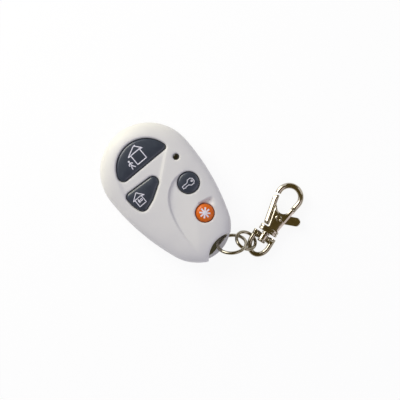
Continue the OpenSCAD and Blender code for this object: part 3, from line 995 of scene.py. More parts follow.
@dataclass
class FrontShell:
    """The moulded front with its tray, curved step, finger scoop, key holes and mouth, in millimetres.

    Each ramp is given by where it starts and how long it is.
    """

    case: CaseShape
    keys: Keys
    key_gap: float = 0.2
    lamp_gap: float = 0.05
    shoulder_in: float = 1.2
    shoulder_rings: int = 14
    around: int = 420
    skin: float = 1.5
    rim_soft: float = 0.72
    hole_steps: tuple[float, ...] = (0.05, 0.11, 0.18, 0.27, 0.37, 0.48, 0.6)
    mouth_steps: tuple[float, ...] = (0.08, 0.18, 0.3, 0.42)
    wall_edge: float = 0.12
    tray_depth: float = 0.5
    tray_margin: float = 0.8
    tray_ramp: tuple[float, float] = (-0.35, 1.7)
    step_curve: tuple[tuple[float, float], ...] = ((-3.0, 8.5), (-2.5, -6.0), (22.65, -5.9))
    step_bounds: tuple[tuple[float, float], ...] = ((60.0, -15.0), (60.0, 60.0), (-3.0, 60.0))
    step_slope: float = 5.6
    step_hinge: tuple[float, float] = (-5.0, 18.0)
    step_along: tuple[float, float] = (31.0, -24.0)
    step_ramp: tuple[float, float] = (-0.2, 0.85)
    step_across: tuple[float, float] = (-8.6, 3.0)
    step_tail: tuple[float, float] = (4.0, 5.0)
    step_top: float = 10.0
    scoop_foot: tuple[float, float] = (10.5, 6.6)
    scoop_tip: tuple[float, float] = (11.7, 12.4)
    scoop_deep: float = 1.6
    scoop_near: tuple[float, float] = (-0.08, 0.22)
    scoop_far: tuple[float, float] = (0.62, 0.5)
    scoop_wall: tuple[float, float] = (-0.6, 1.25)
    scoop_run: tuple[float, float] = (0.6, 3.4)
    scoop_mid: tuple[float, float] = (12.6, 9.0)
    scoop_half: tuple[float, float] = (3.6, 4.2)
    tray_wall: float = 0.5
    step_wall: float = 0.3
    fine_pitch: float = 0.24
    wide_pitch: float = 0.62
    edge_clear: float = 0.2

    def __post_init__(self) -> None:
        """Works out the lines of the features."""
        keys = self.keys
        self.holes = [(outline, self.key_gap) for outline in (keys.away, keys.stay, keys.disarm, keys.panic)]
        self.holes.append((keys.lamp, self.lamp_gap))
        self.tray = hull(np.concatenate([keys.away(self.tray_margin), keys.stay(self.tray_margin)]))
        t = np.linspace(0, 1, 60)[:, None]
        a, b, c = (np.array(corner) for corner in self.step_curve)
        step = (1 - t) ** 2 * a + 2 * t * (1 - t) * b + t * t * c
        self.field = np.concatenate([step, self.step_bounds])

    def scoop(self, p: np.ndarray) -> np.ndarray:
        """Depth of the finger scoop: steep at its head-side wall, running out towards the tail.

        Args:
            p: Rows of x and y.

        Returns:
            The depth at each point.
        """
        foot, tip = np.array(self.scoop_foot), np.array(self.scoop_tip)
        along = (tip - foot) / np.linalg.norm(tip - foot)
        across = np.array([along[1], -along[0]])
        t = (p - foot) @ along / np.linalg.norm(tip - foot)
        s = (p - foot) @ across
        fade = (1 - ramp(t, *self.scoop_far)) * ramp(t, *self.scoop_near)
        return self.scoop_deep * fade * ramp(s, *self.scoop_wall) * (1 - ramp(s, *self.scoop_run))

    def relief(self, p: np.ndarray) -> np.ndarray:
        """How far the features sink below the plain dome.

        Args:
            p: Rows of x and y.

        Returns:
            The sink at each point.
        """
        soft = self.rim_soft

        def rounded(off: np.ndarray) -> np.ndarray:
            """Sink of a rounded rim at a distance from its edge."""
            lip = np.clip(soft - off, 0, soft)
            return soft - np.sqrt(soft * soft - lip * lip)

        sink = self.tray_depth * ramp(signed(p, self.tray), *self.tray_ramp)
        along = np.array(self.step_along) / math.hypot(*self.step_along)
        lean = (p - np.array(self.step_hinge)) @ np.array([-along[1], along[0]])
        drop = math.tan(math.radians(self.step_slope)) * np.maximum(-lean, 0)
        start = np.maximum(ramp(-p[:, 1], *self.step_across), ramp(p[:, 0], *self.step_tail))
        sink = sink + drop * start * ramp(signed(p, self.field), *self.step_ramp)
        sink = sink + self.scoop(p)
        for outline, gap in self.holes:
            sink = sink + rounded(np.maximum(-signed(p, outline(gap)), 0))
        return sink + rounded(away_from(p, self.case.mouth) - self.case.mouth_r)

    def clipped(self, inset: float) -> np.ndarray:
        """One ring of the shoulder, open where the mouth cuts it.

        Args:
            inset: How far inside the outline.

        Returns:
            Evenly spaced points from one side of the mouth to the other.
        """
        loop = self.case.ring(inset, fine=16)
        mouth, radius = np.array(self.case.mouth), self.case.mouth_r
        out = away_from(loop, mouth) > radius
        first = int(np.flatnonzero(out & ~np.roll(out, 1))[0])
        loop, out = np.roll(loop, -first, 0), np.roll(out, -first)
        last = int(np.flatnonzero(~out)[0])

        def meet(a: np.ndarray, b: np.ndarray) -> np.ndarray:
            """Finds where the mouth's circle cuts a side of the outline.

            Args:
                a: The side's end outside the circle.
                b: The side's end inside it.

            Returns:
                The point on the circle.
            """
            low, high = 0.0, 1.0
            for _ in range(50):
                mid = (low + high) / 2
                if np.hypot(*(a + mid * (b - a) - mouth)) > radius:
                    low = mid
                else:
                    high = mid
            return a + low * (b - a)

        line = np.concatenate([[meet(loop[0], loop[-1])], loop[:last], [meet(loop[last - 1], loop[last])]])
        return resample(line, self.around)

    def shoulder(self) -> list[np.ndarray]:
        """The shoulder's rings from the parting line up to where the face begins.

        Returns:
            Open rows of x, y and z.
        """
        case = self.case
        part = 1 - self.shoulder_in / case.front_round
        top = math.acos(part ** (case.dome_power / 2))
        rings = []
        for turn in np.linspace(0, top, self.shoulder_rings):
            inset = case.front_round * (1 - math.cos(turn) ** (2 / case.dome_power))
            flat = self.clipped(inset)
            rise = case.front_h * case.fall(flat[:, 0]) * math.sin(turn) ** (2 / case.dome_power)
            sink = self.relief(flat) * (turn / top) ** 2
            rings.append(np.c_[flat, case.rear_h + np.maximum(rise - sink, 0)])
        rings[0][:, 2] += case.parting
        return [level(self.clipped(case.parting), case.rear_h)] + rings

    def beside(self, p: np.ndarray, tray: float, step: float, scoop: float) -> tuple[np.ndarray, ...]:
        """Which points lie by the walls of the features.

        Args:
            p: Rows of x and y.
            tray: How far from the tray's wall.
            step: How far from the curved step.
            scoop: How far beyond the box of the scoop.

        Returns:
            Truth values for the tray, the step and the scoop.
        """
        spot = np.abs(p - np.array(self.scoop_mid))
        return (np.abs(signed(p, self.tray) - self.tray_wall) < tray,
                np.abs(signed(p, self.field) - self.step_wall) < step,
                (spot < np.array(self.scoop_half) + scoop).all(1))

    def field_points(self, edge: np.ndarray) -> np.ndarray:
        """Points over the face, closer together along the features.

        Args:
            edge: The face's outer loop.

        Returns:
            Rows of x and y.
        """
        low, high = edge.min(0), edge.max(0)
        fine, wide = hexagons(low, high, self.fine_pitch), hexagons(low, high, self.wide_pitch)
        tray, step, scoop = self.beside(fine, tray=0.75, step=0.9, scoop=0.0)
        near = tray | (step & (fine[:, 1] <= self.step_top)) | scoop
        far = ~np.any(self.beside(wide, tray=1.1, step=1.2, scoop=0.3), axis=0)
        field = np.concatenate([fine[near], wide[far]])
        field = field[inside(field, edge) & (reach(field, edge) > self.edge_clear)]
        for outline, gap in self.holes:
            field = field[-signed(field, outline(gap)) > self.rim_soft]
        return field

    def mouth_lines(self, loop: np.ndarray, first: float, last: float) -> list[np.ndarray]:
        """Points that follow the mouth on the face.

        Args:
            loop: The face's outer loop.
            first: Angle about the mouth's centre where its edge begins.
            last: Angle where it ends.

        Returns:
            Lines along the rounded edge and over the end wall.
        """
        case = self.case
        lines = []
        for out in self.mouth_steps:
            lines.append((arc(case.mouth, case.mouth_r + out, first, last, 70)[2:-1], 0.05))
        for out in (case.end_wall, case.end_wall + self.wall_edge):
            lines.append((arc(case.mouth, case.mouth_r + out, first - 6, last + 6, 60), 0.08))
        return [line[inside(line, loop) & (reach(line, loop) > gap)] for line, gap in lines]

    def stays(self, mid: np.ndarray, loop: np.ndarray) -> np.ndarray:
        """Which triangles of the face stay.

        Args:
            mid: Middles of the triangles.
            loop: The face's outer loop.

        Returns:
            Whether each lies inside the loop and outside every hole.
        """
        good = inside(mid, loop)
        for outline, gap in self.holes:
            good &= ~inside(mid, outline(gap))
        return good

    def build(self) -> bpy.types.Object:
        """Makes the closed front shell.

        Returns:
            The piece.
        """
        case, mesh = self.case, Mesher()
        rings = self.shoulder()
        rows = [mesh.add(ring) for ring in rings]
        for low, high in zip(rows, rows[1:]):
            mesh.strip(low, high, closed=False)
        edge = rings[-1][:, :2]
        first, last = (bearing(edge[k] - np.array(case.mouth)) % 360 for k in (-1, 0))
        loop = np.concatenate([edge, arc(case.mouth, case.mouth_r, first, last, 72)[1:]])
        loops = [loop] + [outline(gap) for outline, gap in self.holes]
        starts = np.cumsum([0] + [len(one) for one in loops]).tolist()
        edges = [pair for start, one in zip(starts, loops) for pair in ring_edges(start, len(one))]
        points = loops + [outline(gap + out) for outline, gap in self.holes for out in self.hole_steps]
        points += self.mouth_lines(loop, first, last)
        points.append(self.field_points(loop))
        spots, faces, source = triangles(np.concatenate(points), edges, lambda mid: self.stays(mid, loop))
        height = case.dome(spots) - self.relief(spots)
        for k, number in enumerate(source):
            if 0 <= number < len(edge):
                height[k] = rings[-1][number, 2]
        top = mesh.add(np.c_[spots, height])
        mesh.faces += [tuple(top[f]) for f in faces]
        by_wall = away_from(spots, case.mouth) - case.mouth_r < case.end_wall + self.wall_edge / 2
        low = mesh.add(np.c_[spots, np.where(by_wall, case.rear_h, height - self.skin)])
        mesh.faces += [tuple(low[f][::-1]) for f in faces]
        where = {number: k for k, number in enumerate(source) if number >= 0}
        for start, one in zip(starts[1:], loops[1:]):
            spot = [where[start + i] for i in range(len(one))]
            mesh.strip(top[spot], low[spot])
        spot = [where[i] for i in range(len(edge) - 1, len(loop))] + [where[0]]
        mesh.strip(top[spot], low[spot], closed=False)
        around = [where[i] for i in range(len(edge))]
        sill = mesh.add(level(edge, case.rear_h))
        mesh.strip(low[around], sill, closed=False)
        mesh.strip(sill, rows[0], closed=False)
        for end in (0, -1):
            for a, b in zip(rows, rows[1:]):
                mesh.faces.append((a[end], b[end], sill[end]))
        return mesh.object("front_case", sharp=40)


@dataclass
class RearShell:
    """The moulded rear half with the ring slot and the lip bar, in millimetres."""

    case: CaseShape
    steps: int = 18
    screw_at: tuple[float, float] = (21.1, -0.6)
    boss_r: float = 2.3
    well_r: float = 2.06
    well_h: float = 2.4
    screw_r: float = 1.06
    below: float = -1.0
    above: float = 20.0

    def bowl(self, inset: float, spread: float, low: float, top: float, name: str) -> bpy.types.Object:
        """A rounded bowl-shaped solid.

        Args:
            inset: How far inside the outline its rim lies.
            spread: Width of the rounded edge.
            low: Height of its flat underside.
            top: Height of its rim.
            name: Name of the object.

        Returns:
            The solid.
        """
        case, power = self.case, 2 / self.case.rear_power
        mesh, rings = Mesher(), []
        for turn in np.radians(np.linspace(90, 0, self.steps)):
            loop = case.ring(inset + spread * (1 - math.cos(turn) ** power), 0)
            rings.append(level(loop, case.rear_h - (case.rear_h - low) * math.sin(turn) ** power))
        if top > case.rear_h:
            rings.append(level(rings[-1][:, :2], top))
        else:
            rings[-1][:, 2] -= case.parting
            rings.append(level(case.ring(case.parting, 0), top))
        mesh.loft(rings)
        return mesh.object(name)

    @staticmethod
    def cutter(loop: np.ndarray, low: float, high: float) -> bpy.types.Object:
        """A straight-sided cutter.

        Args:
            loop: Its outline.
            low: Height of its underside.
            high: Height of its top.

        Returns:
            The cutter.
        """
        mesh = Mesher()
        mesh.loft([level(loop, low), level(loop, high)])
        return mesh.object("cutter")

    def drum(self, centre: Sequence[float], radius: float, low: float, high: float) -> bpy.types.Object:
        """A round cutter."""
        return self.cutter(circle(centre, radius, 160), low, high)

    def slot(self) -> np.ndarray:
        """Outline of the ring slot.

        It follows the mouth's circle and stops at the lip bar, which stays joined to the case at its ends.

        Returns:
            The closed loop.
        """
        case = self.case
        mouth, tail = np.array(case.mouth), np.array([case.tail_x, 0])
        length = np.linalg.norm(tail - mouth)
        ahead = (tail - mouth) / length
        side = np.array([-ahead[1], ahead[0]])
        base = bearing(ahead)
        limit = case.tail_r - case.slot_end
        bow = arc(mouth, case.mouth_r, base - 60, base + 60, 160)
        bow = bow[away_from(bow, tail) < limit]
        ends = (bow[[-1, 0]] - mouth) @ side
        across = np.linspace(*ends, 40)[1:-1, None] * side
        lip = mouth + ahead * (length - case.tail_r + case.lip_w) + across - tail
        lip = tail + lip * np.minimum(1, limit / np.hypot(*lip.T))[:, None]
        return np.r_[bow, lip]

    def build(self) -> bpy.types.Object:
        """Makes the rear shell.

        Returns:
            The piece.
        """
        case, below, above = self.case, self.below, self.above
        shell = self.bowl(0, case.rear_round, 0, case.rear_h, "rear_case")
        spread = case.rear_round - case.wall / 2
        hollow = self.bowl(case.wall, spread, case.floor_t, case.rear_h + 1, "hollow")
        carve(hollow, self.drum(case.mouth, case.mouth_r + case.end_wall, below, above))
        carve(hollow, self.drum(self.screw_at, self.boss_r, below, above))
        carve(shell, hollow)
        carve(shell, self.cutter(self.slot(), below, case.rear_h + 1))
        carve(shell, self.drum(case.mouth, case.mouth_r, case.lip_z + case.lip_t, above))
        carve(shell, self.drum(case.mouth, case.mouth_r, below, case.lip_z))
        carve(shell, self.drum(self.screw_at, self.well_r, below, self.well_h))
        carve(shell, self.drum(self.screw_at, self.screw_r, below, above))
        return finish_mesh(shell, sharp=32)


# Press keys and their printed marks


@dataclass
class KeyCap:
    """One press key, in millimetres: an outline with a rounded edge and a low crown."""

    name: str
    node: str
    body: Body
    outline: Callable[[float], np.ndarray]
    top: float
    crown: float
    run: float
    edge: float = 0.7
    finish: str = "key"
    slot: str = "key_plastic"
    low: float = 8.42
    flange_t: float = 0.7
    flange_w: float = 0.7
    insets: tuple[float, ...] = (0.02, 0.06, 0.13, 0.22, 0.34, 0.48, 0.64, 0.82)
    pitch: float = 0.42
    field_in: float = 1.0

    def height(self, p: np.ndarray) -> np.ndarray:
        """Height of the key's face.

        Args:
            p: Rows of x and y.

        Returns:
            The height over each point.
        """
        deep = np.maximum(signed(p, self.outline(0)), 0)
        lip = np.clip(self.edge - deep, 0, self.edge)
        swell = 1 - (1 - np.clip(deep / self.run, 0, 1)) ** 2
        return self.top - self.edge + np.sqrt(self.edge ** 2 - lip ** 2) + self.crown * swell

    def build(self) -> bpy.types.Object:
        """Makes the key with its wall and the flange under the shell.

        Returns:
            The piece.
        """
        mesh = Mesher()
        rim = self.outline(0)
        count = len(rim)
        field = hexagons(rim.min(0), rim.max(0), self.pitch)
        field = field[inside(field, rim)]
        field = field[reach(field, rim) > self.field_in]
        points = np.concatenate([rim] + [shrink(rim, d) for d in self.insets] + [field])
        spots, faces, source = triangles(points, ring_edges(0, count), lambda mid: inside(mid, rim))
        top = mesh.add(np.c_[spots, self.height(spots)])
        mesh.faces += [tuple(top[f]) for f in faces]
        where = {number: k for k, number in enumerate(source) if number >= 0}
        upper = top[[where[i] for i in range(count)]]
        wide, ledge = self.outline(self.flange_w), self.low + self.flange_t
        rows = [mesh.add(level(loop, z)) for loop, z in ((rim, ledge), (wide, ledge), (wide, self.low))]
        for a, b in zip([upper] + rows, rows):
            mesh.strip(a, b)
        mesh.faces.append(tuple(rows[-1][::-1]))
        return mesh.object(self.name, sharp=45)

    def on_face(self, line: np.ndarray, lift: float) -> np.ndarray:
        """Lays a flat line at a height above the key's face."""
        return np.c_[line, self.height(line) + lift]


def house(at: Sequence[float], size: float, roof: Sequence[Sequence[float]]) -> list[np.ndarray]:
    """Lines of a plain house with its roof towards the fob's head.

    Args:
        at: Middle of the house's square.
        size: Side of the square.
        roof: The roof's left eave, ridge and right eave, in half sides from the middle.

    Returns:
        Open lines of x and y.
    """
    x, y = at
    h = size / 2
    box = [(x - h, y - h), (x - h, y + h), (x + h, y + h), (x + h, y - h), (x - h, y - h)]
    left, ridge, right = (np.array([x, y]) + h * np.array(spot) for spot in roof)
    flue = ridge + 0.16 * (right - ridge)
    slope = [(x - h * 0.95, y - h), left, ridge, right, (x - h * 0.95, y + h)]
    return [dense(box), dense(slope), np.array([flue, flue + h * np.array([-0.24, 0.06])])]


def walker(at: Sequence[float], size: float) -> list[np.ndarray]:
    """Lines of a plain walking figure, head towards the fob's head.

    Args:
        at: Middle of the figure.
        size: Its height.

    Returns:
        Open lines of x and y.
    """
    head = circle((-0.42, 0.0), 0.055, 10)
    limbs = (((-0.30, 0.0), (0.05, 0.0)),
             ((0.05, 0.0), (0.26, -0.13), (0.5, -0.16)),
             ((0.05, 0.0), (0.27, 0.12), (0.46, 0.26)),
             ((-0.22, 0.0), (-0.10, -0.2), (0.06, -0.22)),
             ((-0.22, 0.0), (-0.14, 0.17), (-0.02, 0.27)))
    head = np.asarray(at) + size * np.r_[head, head[:1]]
    return [head] + [dense(np.asarray(at) + size * np.array(limb)) for limb in limbs]


def key_mark(at: Sequence[float], size: float) -> list[np.ndarray]:
    """Outline of a plain door key lying across the fob.

    Args:
        at: Middle of the key.
        size: Its length.

    Returns:
        Lines of x and y.
    """
    loop = np.array([
        (-0.10, -0.52), (-0.10, -0.02), (-0.25, 0.14), (-0.25, 0.38), (-0.12, 0.52), (0.12, 0.52),
        (0.26, 0.38), (0.26, 0.14), (0.10, -0.02), (0.10, -0.30), (0.16, -0.34), (0.10, -0.40),
        (0.10, -0.52), (-0.10, -0.52)])
    eye = circle((0.0, 0.36), 0.06, 12)
    return [dense(np.asarray(at) + size * loop), np.asarray(at) + size * np.r_[eye, eye[:1]]]


@dataclass
class KeySet:
    """The four keys with their printed marks, and the lamp window, in millimetres."""

    keys: Keys
    paint: Paint
    flat: Sweep
    rays: Rays
    lift: float = 0.012
    ink: float = 0.04
    star_arms: int = 8
    star_arm: tuple[tuple[float, float], ...] = (
        (-0.12, -0.26), (1.2, -0.29), (2.1, -0.33), (2.1, 0.33), (1.2, 0.29), (-0.12, 0.26))
    lens_low: float = 8.6
    lens_foot: float = 9.2
    lens_top: float = 12.27

    def caps(self) -> list[KeyCap]:
        """The four keys.

        Returns:
            The keys in the order in which they are made.
        """
        keys = self.keys
        return [
            KeyCap("away_cap", "away_button", Body.AWAY, keys.away, top=12.45, crown=0.71, run=5.2),
            KeyCap("stay_cap", "stay_button", Body.STAY, keys.stay, top=12.1, crown=0.61, run=3.9),
            KeyCap("disarm_cap", "disarm_button", Body.DISARM, keys.disarm, top=12.05, crown=0.66, run=4.1),
            KeyCap("panic_cap", "panic_button", Body.PANIC, keys.panic, top=11.55, crown=0.76, run=3.5,
                   edge=0.9, finish="panic", slot="panic_plastic")]

    def marks(self) -> dict[str, tuple[list[np.ndarray], float]]:
        """The printed marks of the dark keys.

        Returns:
            For each key, the lines of its mark and their width.
        """
        away = house((-17.95, 0.6), 4.3, ((-1.02, -1.53), (-2.05, 0.5), (-0.82, 1.52)))
        away += walker((-17.3, -3.55), 3.6)
        stay = house((-4.45, -9.7), 3.1, ((-0.98, -1.5), (-2.3, 0.4), (-0.62, 1.75)))
        stay += walker((-4.75, -10.1), 1.5)
        stay.append(dense([(-5.0, -9.35), (-5.0, -8.75), (-4.3, -8.75), (-4.3, -9.35), (-5.0, -9.35)]))
        disarm = key_mark((2.1, 8.45), 4.9)
        return {"away_cap": (away, 0.38), "stay_cap": (stay, 0.3), "disarm_cap": (disarm, 0.25)}

    def star(self, cap: KeyCap) -> bpy.types.Object:
        """The orange key's printed star, laid on its crown.

        Args:
            cap: The orange key.

        Returns:
            The piece.
        """
        mesh = Mesher()
        loop = np.array(self.star_arm)
        mesh.loft([level(loop, z) for z in (-self.ink / 2, self.ink / 2)])
        piece = mesh.object("panic_star")
        self.rays.apply(piece, Count=self.star_arms, Finish=self.paint.materials["ink"])
        flat = np.array([v.co[:] for v in piece.data.vertices]) / MM
        spot = flat[:, :2] + cap.outline(0).mean(0)
        place = np.c_[spot, cap.height(spot) + self.lift + flat[:, 2]] * MM
        piece.data.vertices.foreach_set("co", place.ravel())
        return finish_mesh(piece, sharp=50)

    def lens(self) -> bpy.types.Object:
        """The tinted lamp window with its rounded face.

        Returns:
            The piece.
        """
        r, low, foot, top = self.keys.lamp_r, self.lens_low, self.lens_foot, self.lens_top
        mesh = Mesher()
        mesh.turned([(AXIS_R, low), (r + 0.5, low), (r + 0.5, foot), (r, foot), (r, top - 0.25),
                     (r - 0.07, top - 0.1), (r - 0.25, top), (r * 0.5, top + 0.06), (AXIS_R, top + 0.08)], 40)
        mesh.move(lambda p: p + np.array([*self.keys.lamp_at, 0]))
        return mesh.object("lamp_window", sharp=40)

    def build(self) -> None:
        """Makes, dresses and places every key, mark and the window."""
        marks = self.marks()
        for cap in self.caps():
            self.paint.settle(cap.build(), cap.finish, cap.body, cap.slot, cap.node)
            if cap.name in marks:
                lines, width = marks[cap.name]
                laid = [(cap.on_face(line, self.lift), False) for line in lines]
                name = cap.name.replace("cap", "mark")
                mark = self.flat.run(name, laid, width, self.ink, self.paint.materials["ink"])
            else:
                mark = self.star(cap)
            place_piece(mark, cap.body, cap.slot)
        self.paint.settle(self.lens(), "lens", Body.FOB, "lens_plastic", "led_lens")


# Rings and clip


@dataclass(frozen=True)
class WireRing:
    """One wire ring, in millimetres and degrees."""

    name: str
    node: str
    body: Body
    at: tuple[float, float, float]
    lean: float
    turn: float
    radius: float
    wire: float = 1.3

    def build(self, sweep: Sweep, paint: Paint) -> None:
        """Makes the ring, leaned over and turned.

        Args:
            sweep: The tree that sweeps a wire.
            paint: The finishes.
        """
        lean = Matrix.Rotation(math.radians(self.lean), 3, "Y")
        turn = Matrix.Rotation(math.radians(self.turn), 3, "Z") @ lean
        line = np.asarray(self.at) + level(circle((0, 0), self.radius, 120), 0) @ np.array(turn).T
        piece = sweep.run(self.name, [(line, True)], self.wire, 0, paint.materials["wire"])
        place_piece(piece, self.body, "plated_metal", self.node)


RINGS = (
    WireRing("fob_wire_ring", "fob_ring", Body.FIRST_RING, (30.693, 6.457, 5.009), 52.12, 144.69, 5.45),
    WireRing("link_wire_ring", "link_ring", Body.SECOND_RING, (33.169, 11.515, 3.072), 40.16, 106.03, 3.9),
)


@dataclass
class Clip:
    """The swivel and the trigger clip, in millimetres along and across its own axis."""

    wire: Sweep
    paint: Paint
    at: tuple[float, float, float] = (36.1, 18.8, 2.35)
    turn: float = 18.3
    bail_wire: float = 1.92
    bail_w: float = 7.8
    bow_y: float = -3.7
    bow_half: float = 3.78
    bow_deep: float = 4.9
    bar_y: float = -1.35
    bar_d: float = 2.5
    bead_x: float = 2.55
    clip_t: float = 4.6
    cheek_t: float = 1.15
    collar_x: tuple[float, float] = (-3.6, 4.2)
    collar_power: float = 0.68
    lever_t: float = 2.0
    hook_at: tuple[float, float] = (0.3, 17.0)
    hook_r: float = 4.5
    hook_d: float = 2.2
    hook_lean: float = 10.2
    hook_leg: float = 3.9
    pin_at: tuple[float, float] = (1.1, 7.7)
    pin_d: float = 2.0
    pin_hole: float = 0.45
    gate_reach: float = 9.3
    gate_clear: float = 0.45
    gate_parts: tuple[float, ...] = (0, 0.012, 0.04, 0.1, 0.3, 0.5, 0.7, 0.9, 0.965, 0.99, 1)
    gate_edge: tuple[tuple[float, float], ...] = (
        (1.0, 0.0), (0.96, 0.3), (0.84, 0.58), (0.66, 0.78), (0.46, 0.9), (0.27, 0.95), (0.1, 0.91),
        (-0.1, 0.82), (-0.35, 0.7), (-0.6, 0.585), (-0.84, 0.46), (-0.95, 0.27))
    thumb_at: tuple[float, float] = (7.55, 10.2)
    thumb_half: float = 1.75

    def place(self, p: np.ndarray) -> np.ndarray:
        """Moves points from the clip's own frame into the row frame.

        Args:
            p: Rows of x, y and z.

        Returns:
            The moved rows.
        """
        a = math.radians(self.turn)
        turn = np.array([[math.cos(a), -math.sin(a), 0], [math.sin(a), math.cos(a), 0], [0, 0, 1]])
        return p @ turn.T + np.asarray(self.at)

    @staticmethod
    def upright(p: np.ndarray) -> np.ndarray:
        """Lays a turned piece along the clip: its z axis becomes y."""
        return np.c_[p[:, 0], p[:, 2], -p[:, 1]]

    @staticmethod
    def crosswise(p: np.ndarray) -> np.ndarray:
        """Lays a turned piece across the clip: its z axis becomes x."""
        return np.c_[p[:, 2], p[:, 0], p[:, 1]]

    @staticmethod
    def rounded(r: float, low: float, high: float, soft: float) -> list[tuple[float, float]]:
        """Profile of a round bar with softened ends.

        Args:
            r: Its radius.
            low: Height of its foot.
            high: Height of its head.
            soft: Radius of its edges.

        Returns:
            Pairs of radius and height.
        """
        turn = np.radians(np.linspace(0, 90, 5))
        foot = [(r - soft + soft * math.sin(a), low + soft - soft * math.cos(a)) for a in turn]
        head = [(r - soft + soft * math.cos(a), high - soft + soft * math.sin(a)) for a in turn]
        return [(AXIS_R, low), *foot, *head, (AXIS_R, high)]

    def bent(self, name: str, line: np.ndarray, wide: float, finish: str) -> bpy.types.Object:
        """A wire bent along a flat line of the clip."""
        path = self.place(level(line, 0))
        return self.wire.run(name, [(path, False)], wide, 0, self.paint.materials[finish])

    def bail(self) -> None:
        """Makes the bail: a bent wire with a barrel across it."""
        half = self.bail_w / 2
        turn = np.radians(np.linspace(0, -180, 45))
        bend = np.c_[self.bow_half * np.cos(turn), self.bow_y + self.bow_deep * np.sin(turn)]
        line = np.concatenate([[[self.bow_half, 0.0]], bend, [[-self.bow_half, 0.0]]])
        bow = self.bent("bail_bow", line, self.bail_wire, "wire")
        mesh = Mesher()
        mesh.turned(self.rounded(self.bar_d / 2, -half - 0.4, half + 0.4, 0.25), 40)
        for side in (-1, 1):
            mark = len(mesh.points)
            mesh.turned(self.rounded(self.bar_d / 2 + 0.12, -0.45, 0.45, 0.2), 40)
            mesh.move(lambda p, s=side: p + np.array([0, 0, s * self.bead_x]), mark)
        mesh.move(lambda p: self.crosswise(p) + np.array([0, self.bar_y, 0]))
        mark = len(mesh.points)
        low, high = self.bar_y - self.bar_d / 2, self.bar_y + self.bar_d / 2
        hole = self.pin_d / 2 + 0.03
        mesh.turned([(hole, low), (1.65, low), (1.9, low + 0.25), (1.9, high - 0.25), (1.65, high),
                     (hole, high)], 48)
        mesh.move(self.upright, mark)
        mesh.move(self.place)
        barrel = mesh.object("bail_barrel", sharp=40)
        place_piece(bow, Body.BAIL, "plated_metal", "swivel_bail")
        self.paint.settle(barrel, "nickel", Body.BAIL, "plated_metal")

    def post(self) -> None:
        """Makes the headed swivel post."""
        low = self.bar_y - self.bar_d / 2 - 0.1
        mesh = Mesher()
        mesh.turned([(AXIS_R, low - 0.8), (1.2, low - 0.8), (1.55, low - 0.62), (1.65, low - 0.38),
                     (1.65, low - 0.1), (1.5, low), (0.95, low), (0.95, 0.1), (1.55, 0.2), (1.7, 0.35),
                     (1.7, 0.6), (1.55, 0.75), (1.2, 0.8), (1.2, 0.95), (AXIS_R, 0.95)], 48)
        mesh.move(lambda p: self.place(self.upright(p)))
        piece = mesh.object("swivel_stud", sharp=40)
        self.paint.settle(piece, "nickel", Body.CLIP, "plated_metal", "swivel_post")

    def cheek(self) -> np.ndarray:
        """Outline of one cheek plate, its upper edge hollowed by the eye.

        Returns:
            The closed loop.
        """
        return np.concatenate([
            straight((-0.5, 2.9), (3.5, 2.9), 8),
            straight((3.5, 2.9), (4.9, 12.1), 14),
            straight((4.9, 12.1), (5.2, 13.6), 4),
            [[4.5, 13.9], [3.6, 13.9]],
            arc((0.6, 12.6), 2.6, 14, -147, 40),
            [[-1.85, 11.2], [-2.15, 10.85], [-2.1, 10.0]],
            straight((-2.1, 10.0), (-0.5, 2.9), 12)[1:]])

    def collar_ring(self, y: float, slim: float) -> np.ndarray:
        """A rounded section across the collar.

        Args:
            y: Its place along the clip.
            slim: Share of the full size.

        Returns:
            A closed ring of x, y and z.
        """
        turn = np.radians(np.arange(40) * 9)
        round_to = ((v, np.abs(v) ** self.collar_power * slim) for v in (np.cos(turn), np.sin(turn)))
        across, rise = (np.sign(v) * size for v, size in round_to)
        left, right = self.collar_x
        x = (left + right) / 2 + across * ((right - left) / 2)
        return np.c_[x, np.full(len(x), y), rise * (self.clip_t / 2)]

    def hook(self) -> None:
        """Makes the hook body: collar, cheeks, bridge and the hook bar."""
        mesh = Mesher()
        half = self.clip_t / 2
        for low in (-half, half - self.cheek_t):
            mesh.chamfered(self.cheek(), low, low + self.cheek_t, 0.62, 0.3)
        bridge = np.array([[3.3, 12.2], [4.95, 12.2], [5.25, 13.7], [5.1, 14.6], [3.6, 14.4], [3.25, 13.4]])
        mesh.plate(bridge, -half + 0.25, half - 0.25, 0.55)
        ends = np.array([0, 0.05, 0.14, 0.26])
        slim = np.array([0.93, 0.965, 0.99, 1, 1, 0.99, 0.965, 0.93])
        for low, high, size in ((0.9, 1.95, 1.0), (2.05, 3.15, 1.0), (1.2, 2.9, 0.94)):
            steps = np.concatenate([low + ends, high - ends[::-1]])
            mesh.loft([self.collar_ring(y, size * share) for y, share in zip(steps, slim)])
        mesh.move(self.place)
        body = mesh.object("clip_body", sharp=40)
        bow = arc(self.hook_at, self.hook_r, -self.hook_lean, self.tip_turn(), 70)
        foot = bow[0] - self.hook_leg * toward(self.hook_lean)[::-1]
        line = np.concatenate([straight(foot, bow[0], 8), bow])
        bar = self.bent("clip_hook_bar", line, self.hook_d, "nickel")
        self.paint.settle(body, "nickel", Body.CLIP, "plated_metal", "clip_hook")
        place_piece(bar, Body.CLIP, "plated_metal")

    def tip_turn(self) -> float:
        """Angle at which the hook's tip ends, just clear of the gate's swing.

        Returns:
            The angle about the hook's centre.
        """
        turns = np.arange(170, 215, 0.25)
        spots = np.array([np.array(self.hook_at) + self.hook_r * toward(turn) for turn in turns])
        met = away_from(spots, self.pin_at) < self.gate_reach + self.gate_clear
        return float(turns[met.argmax()])

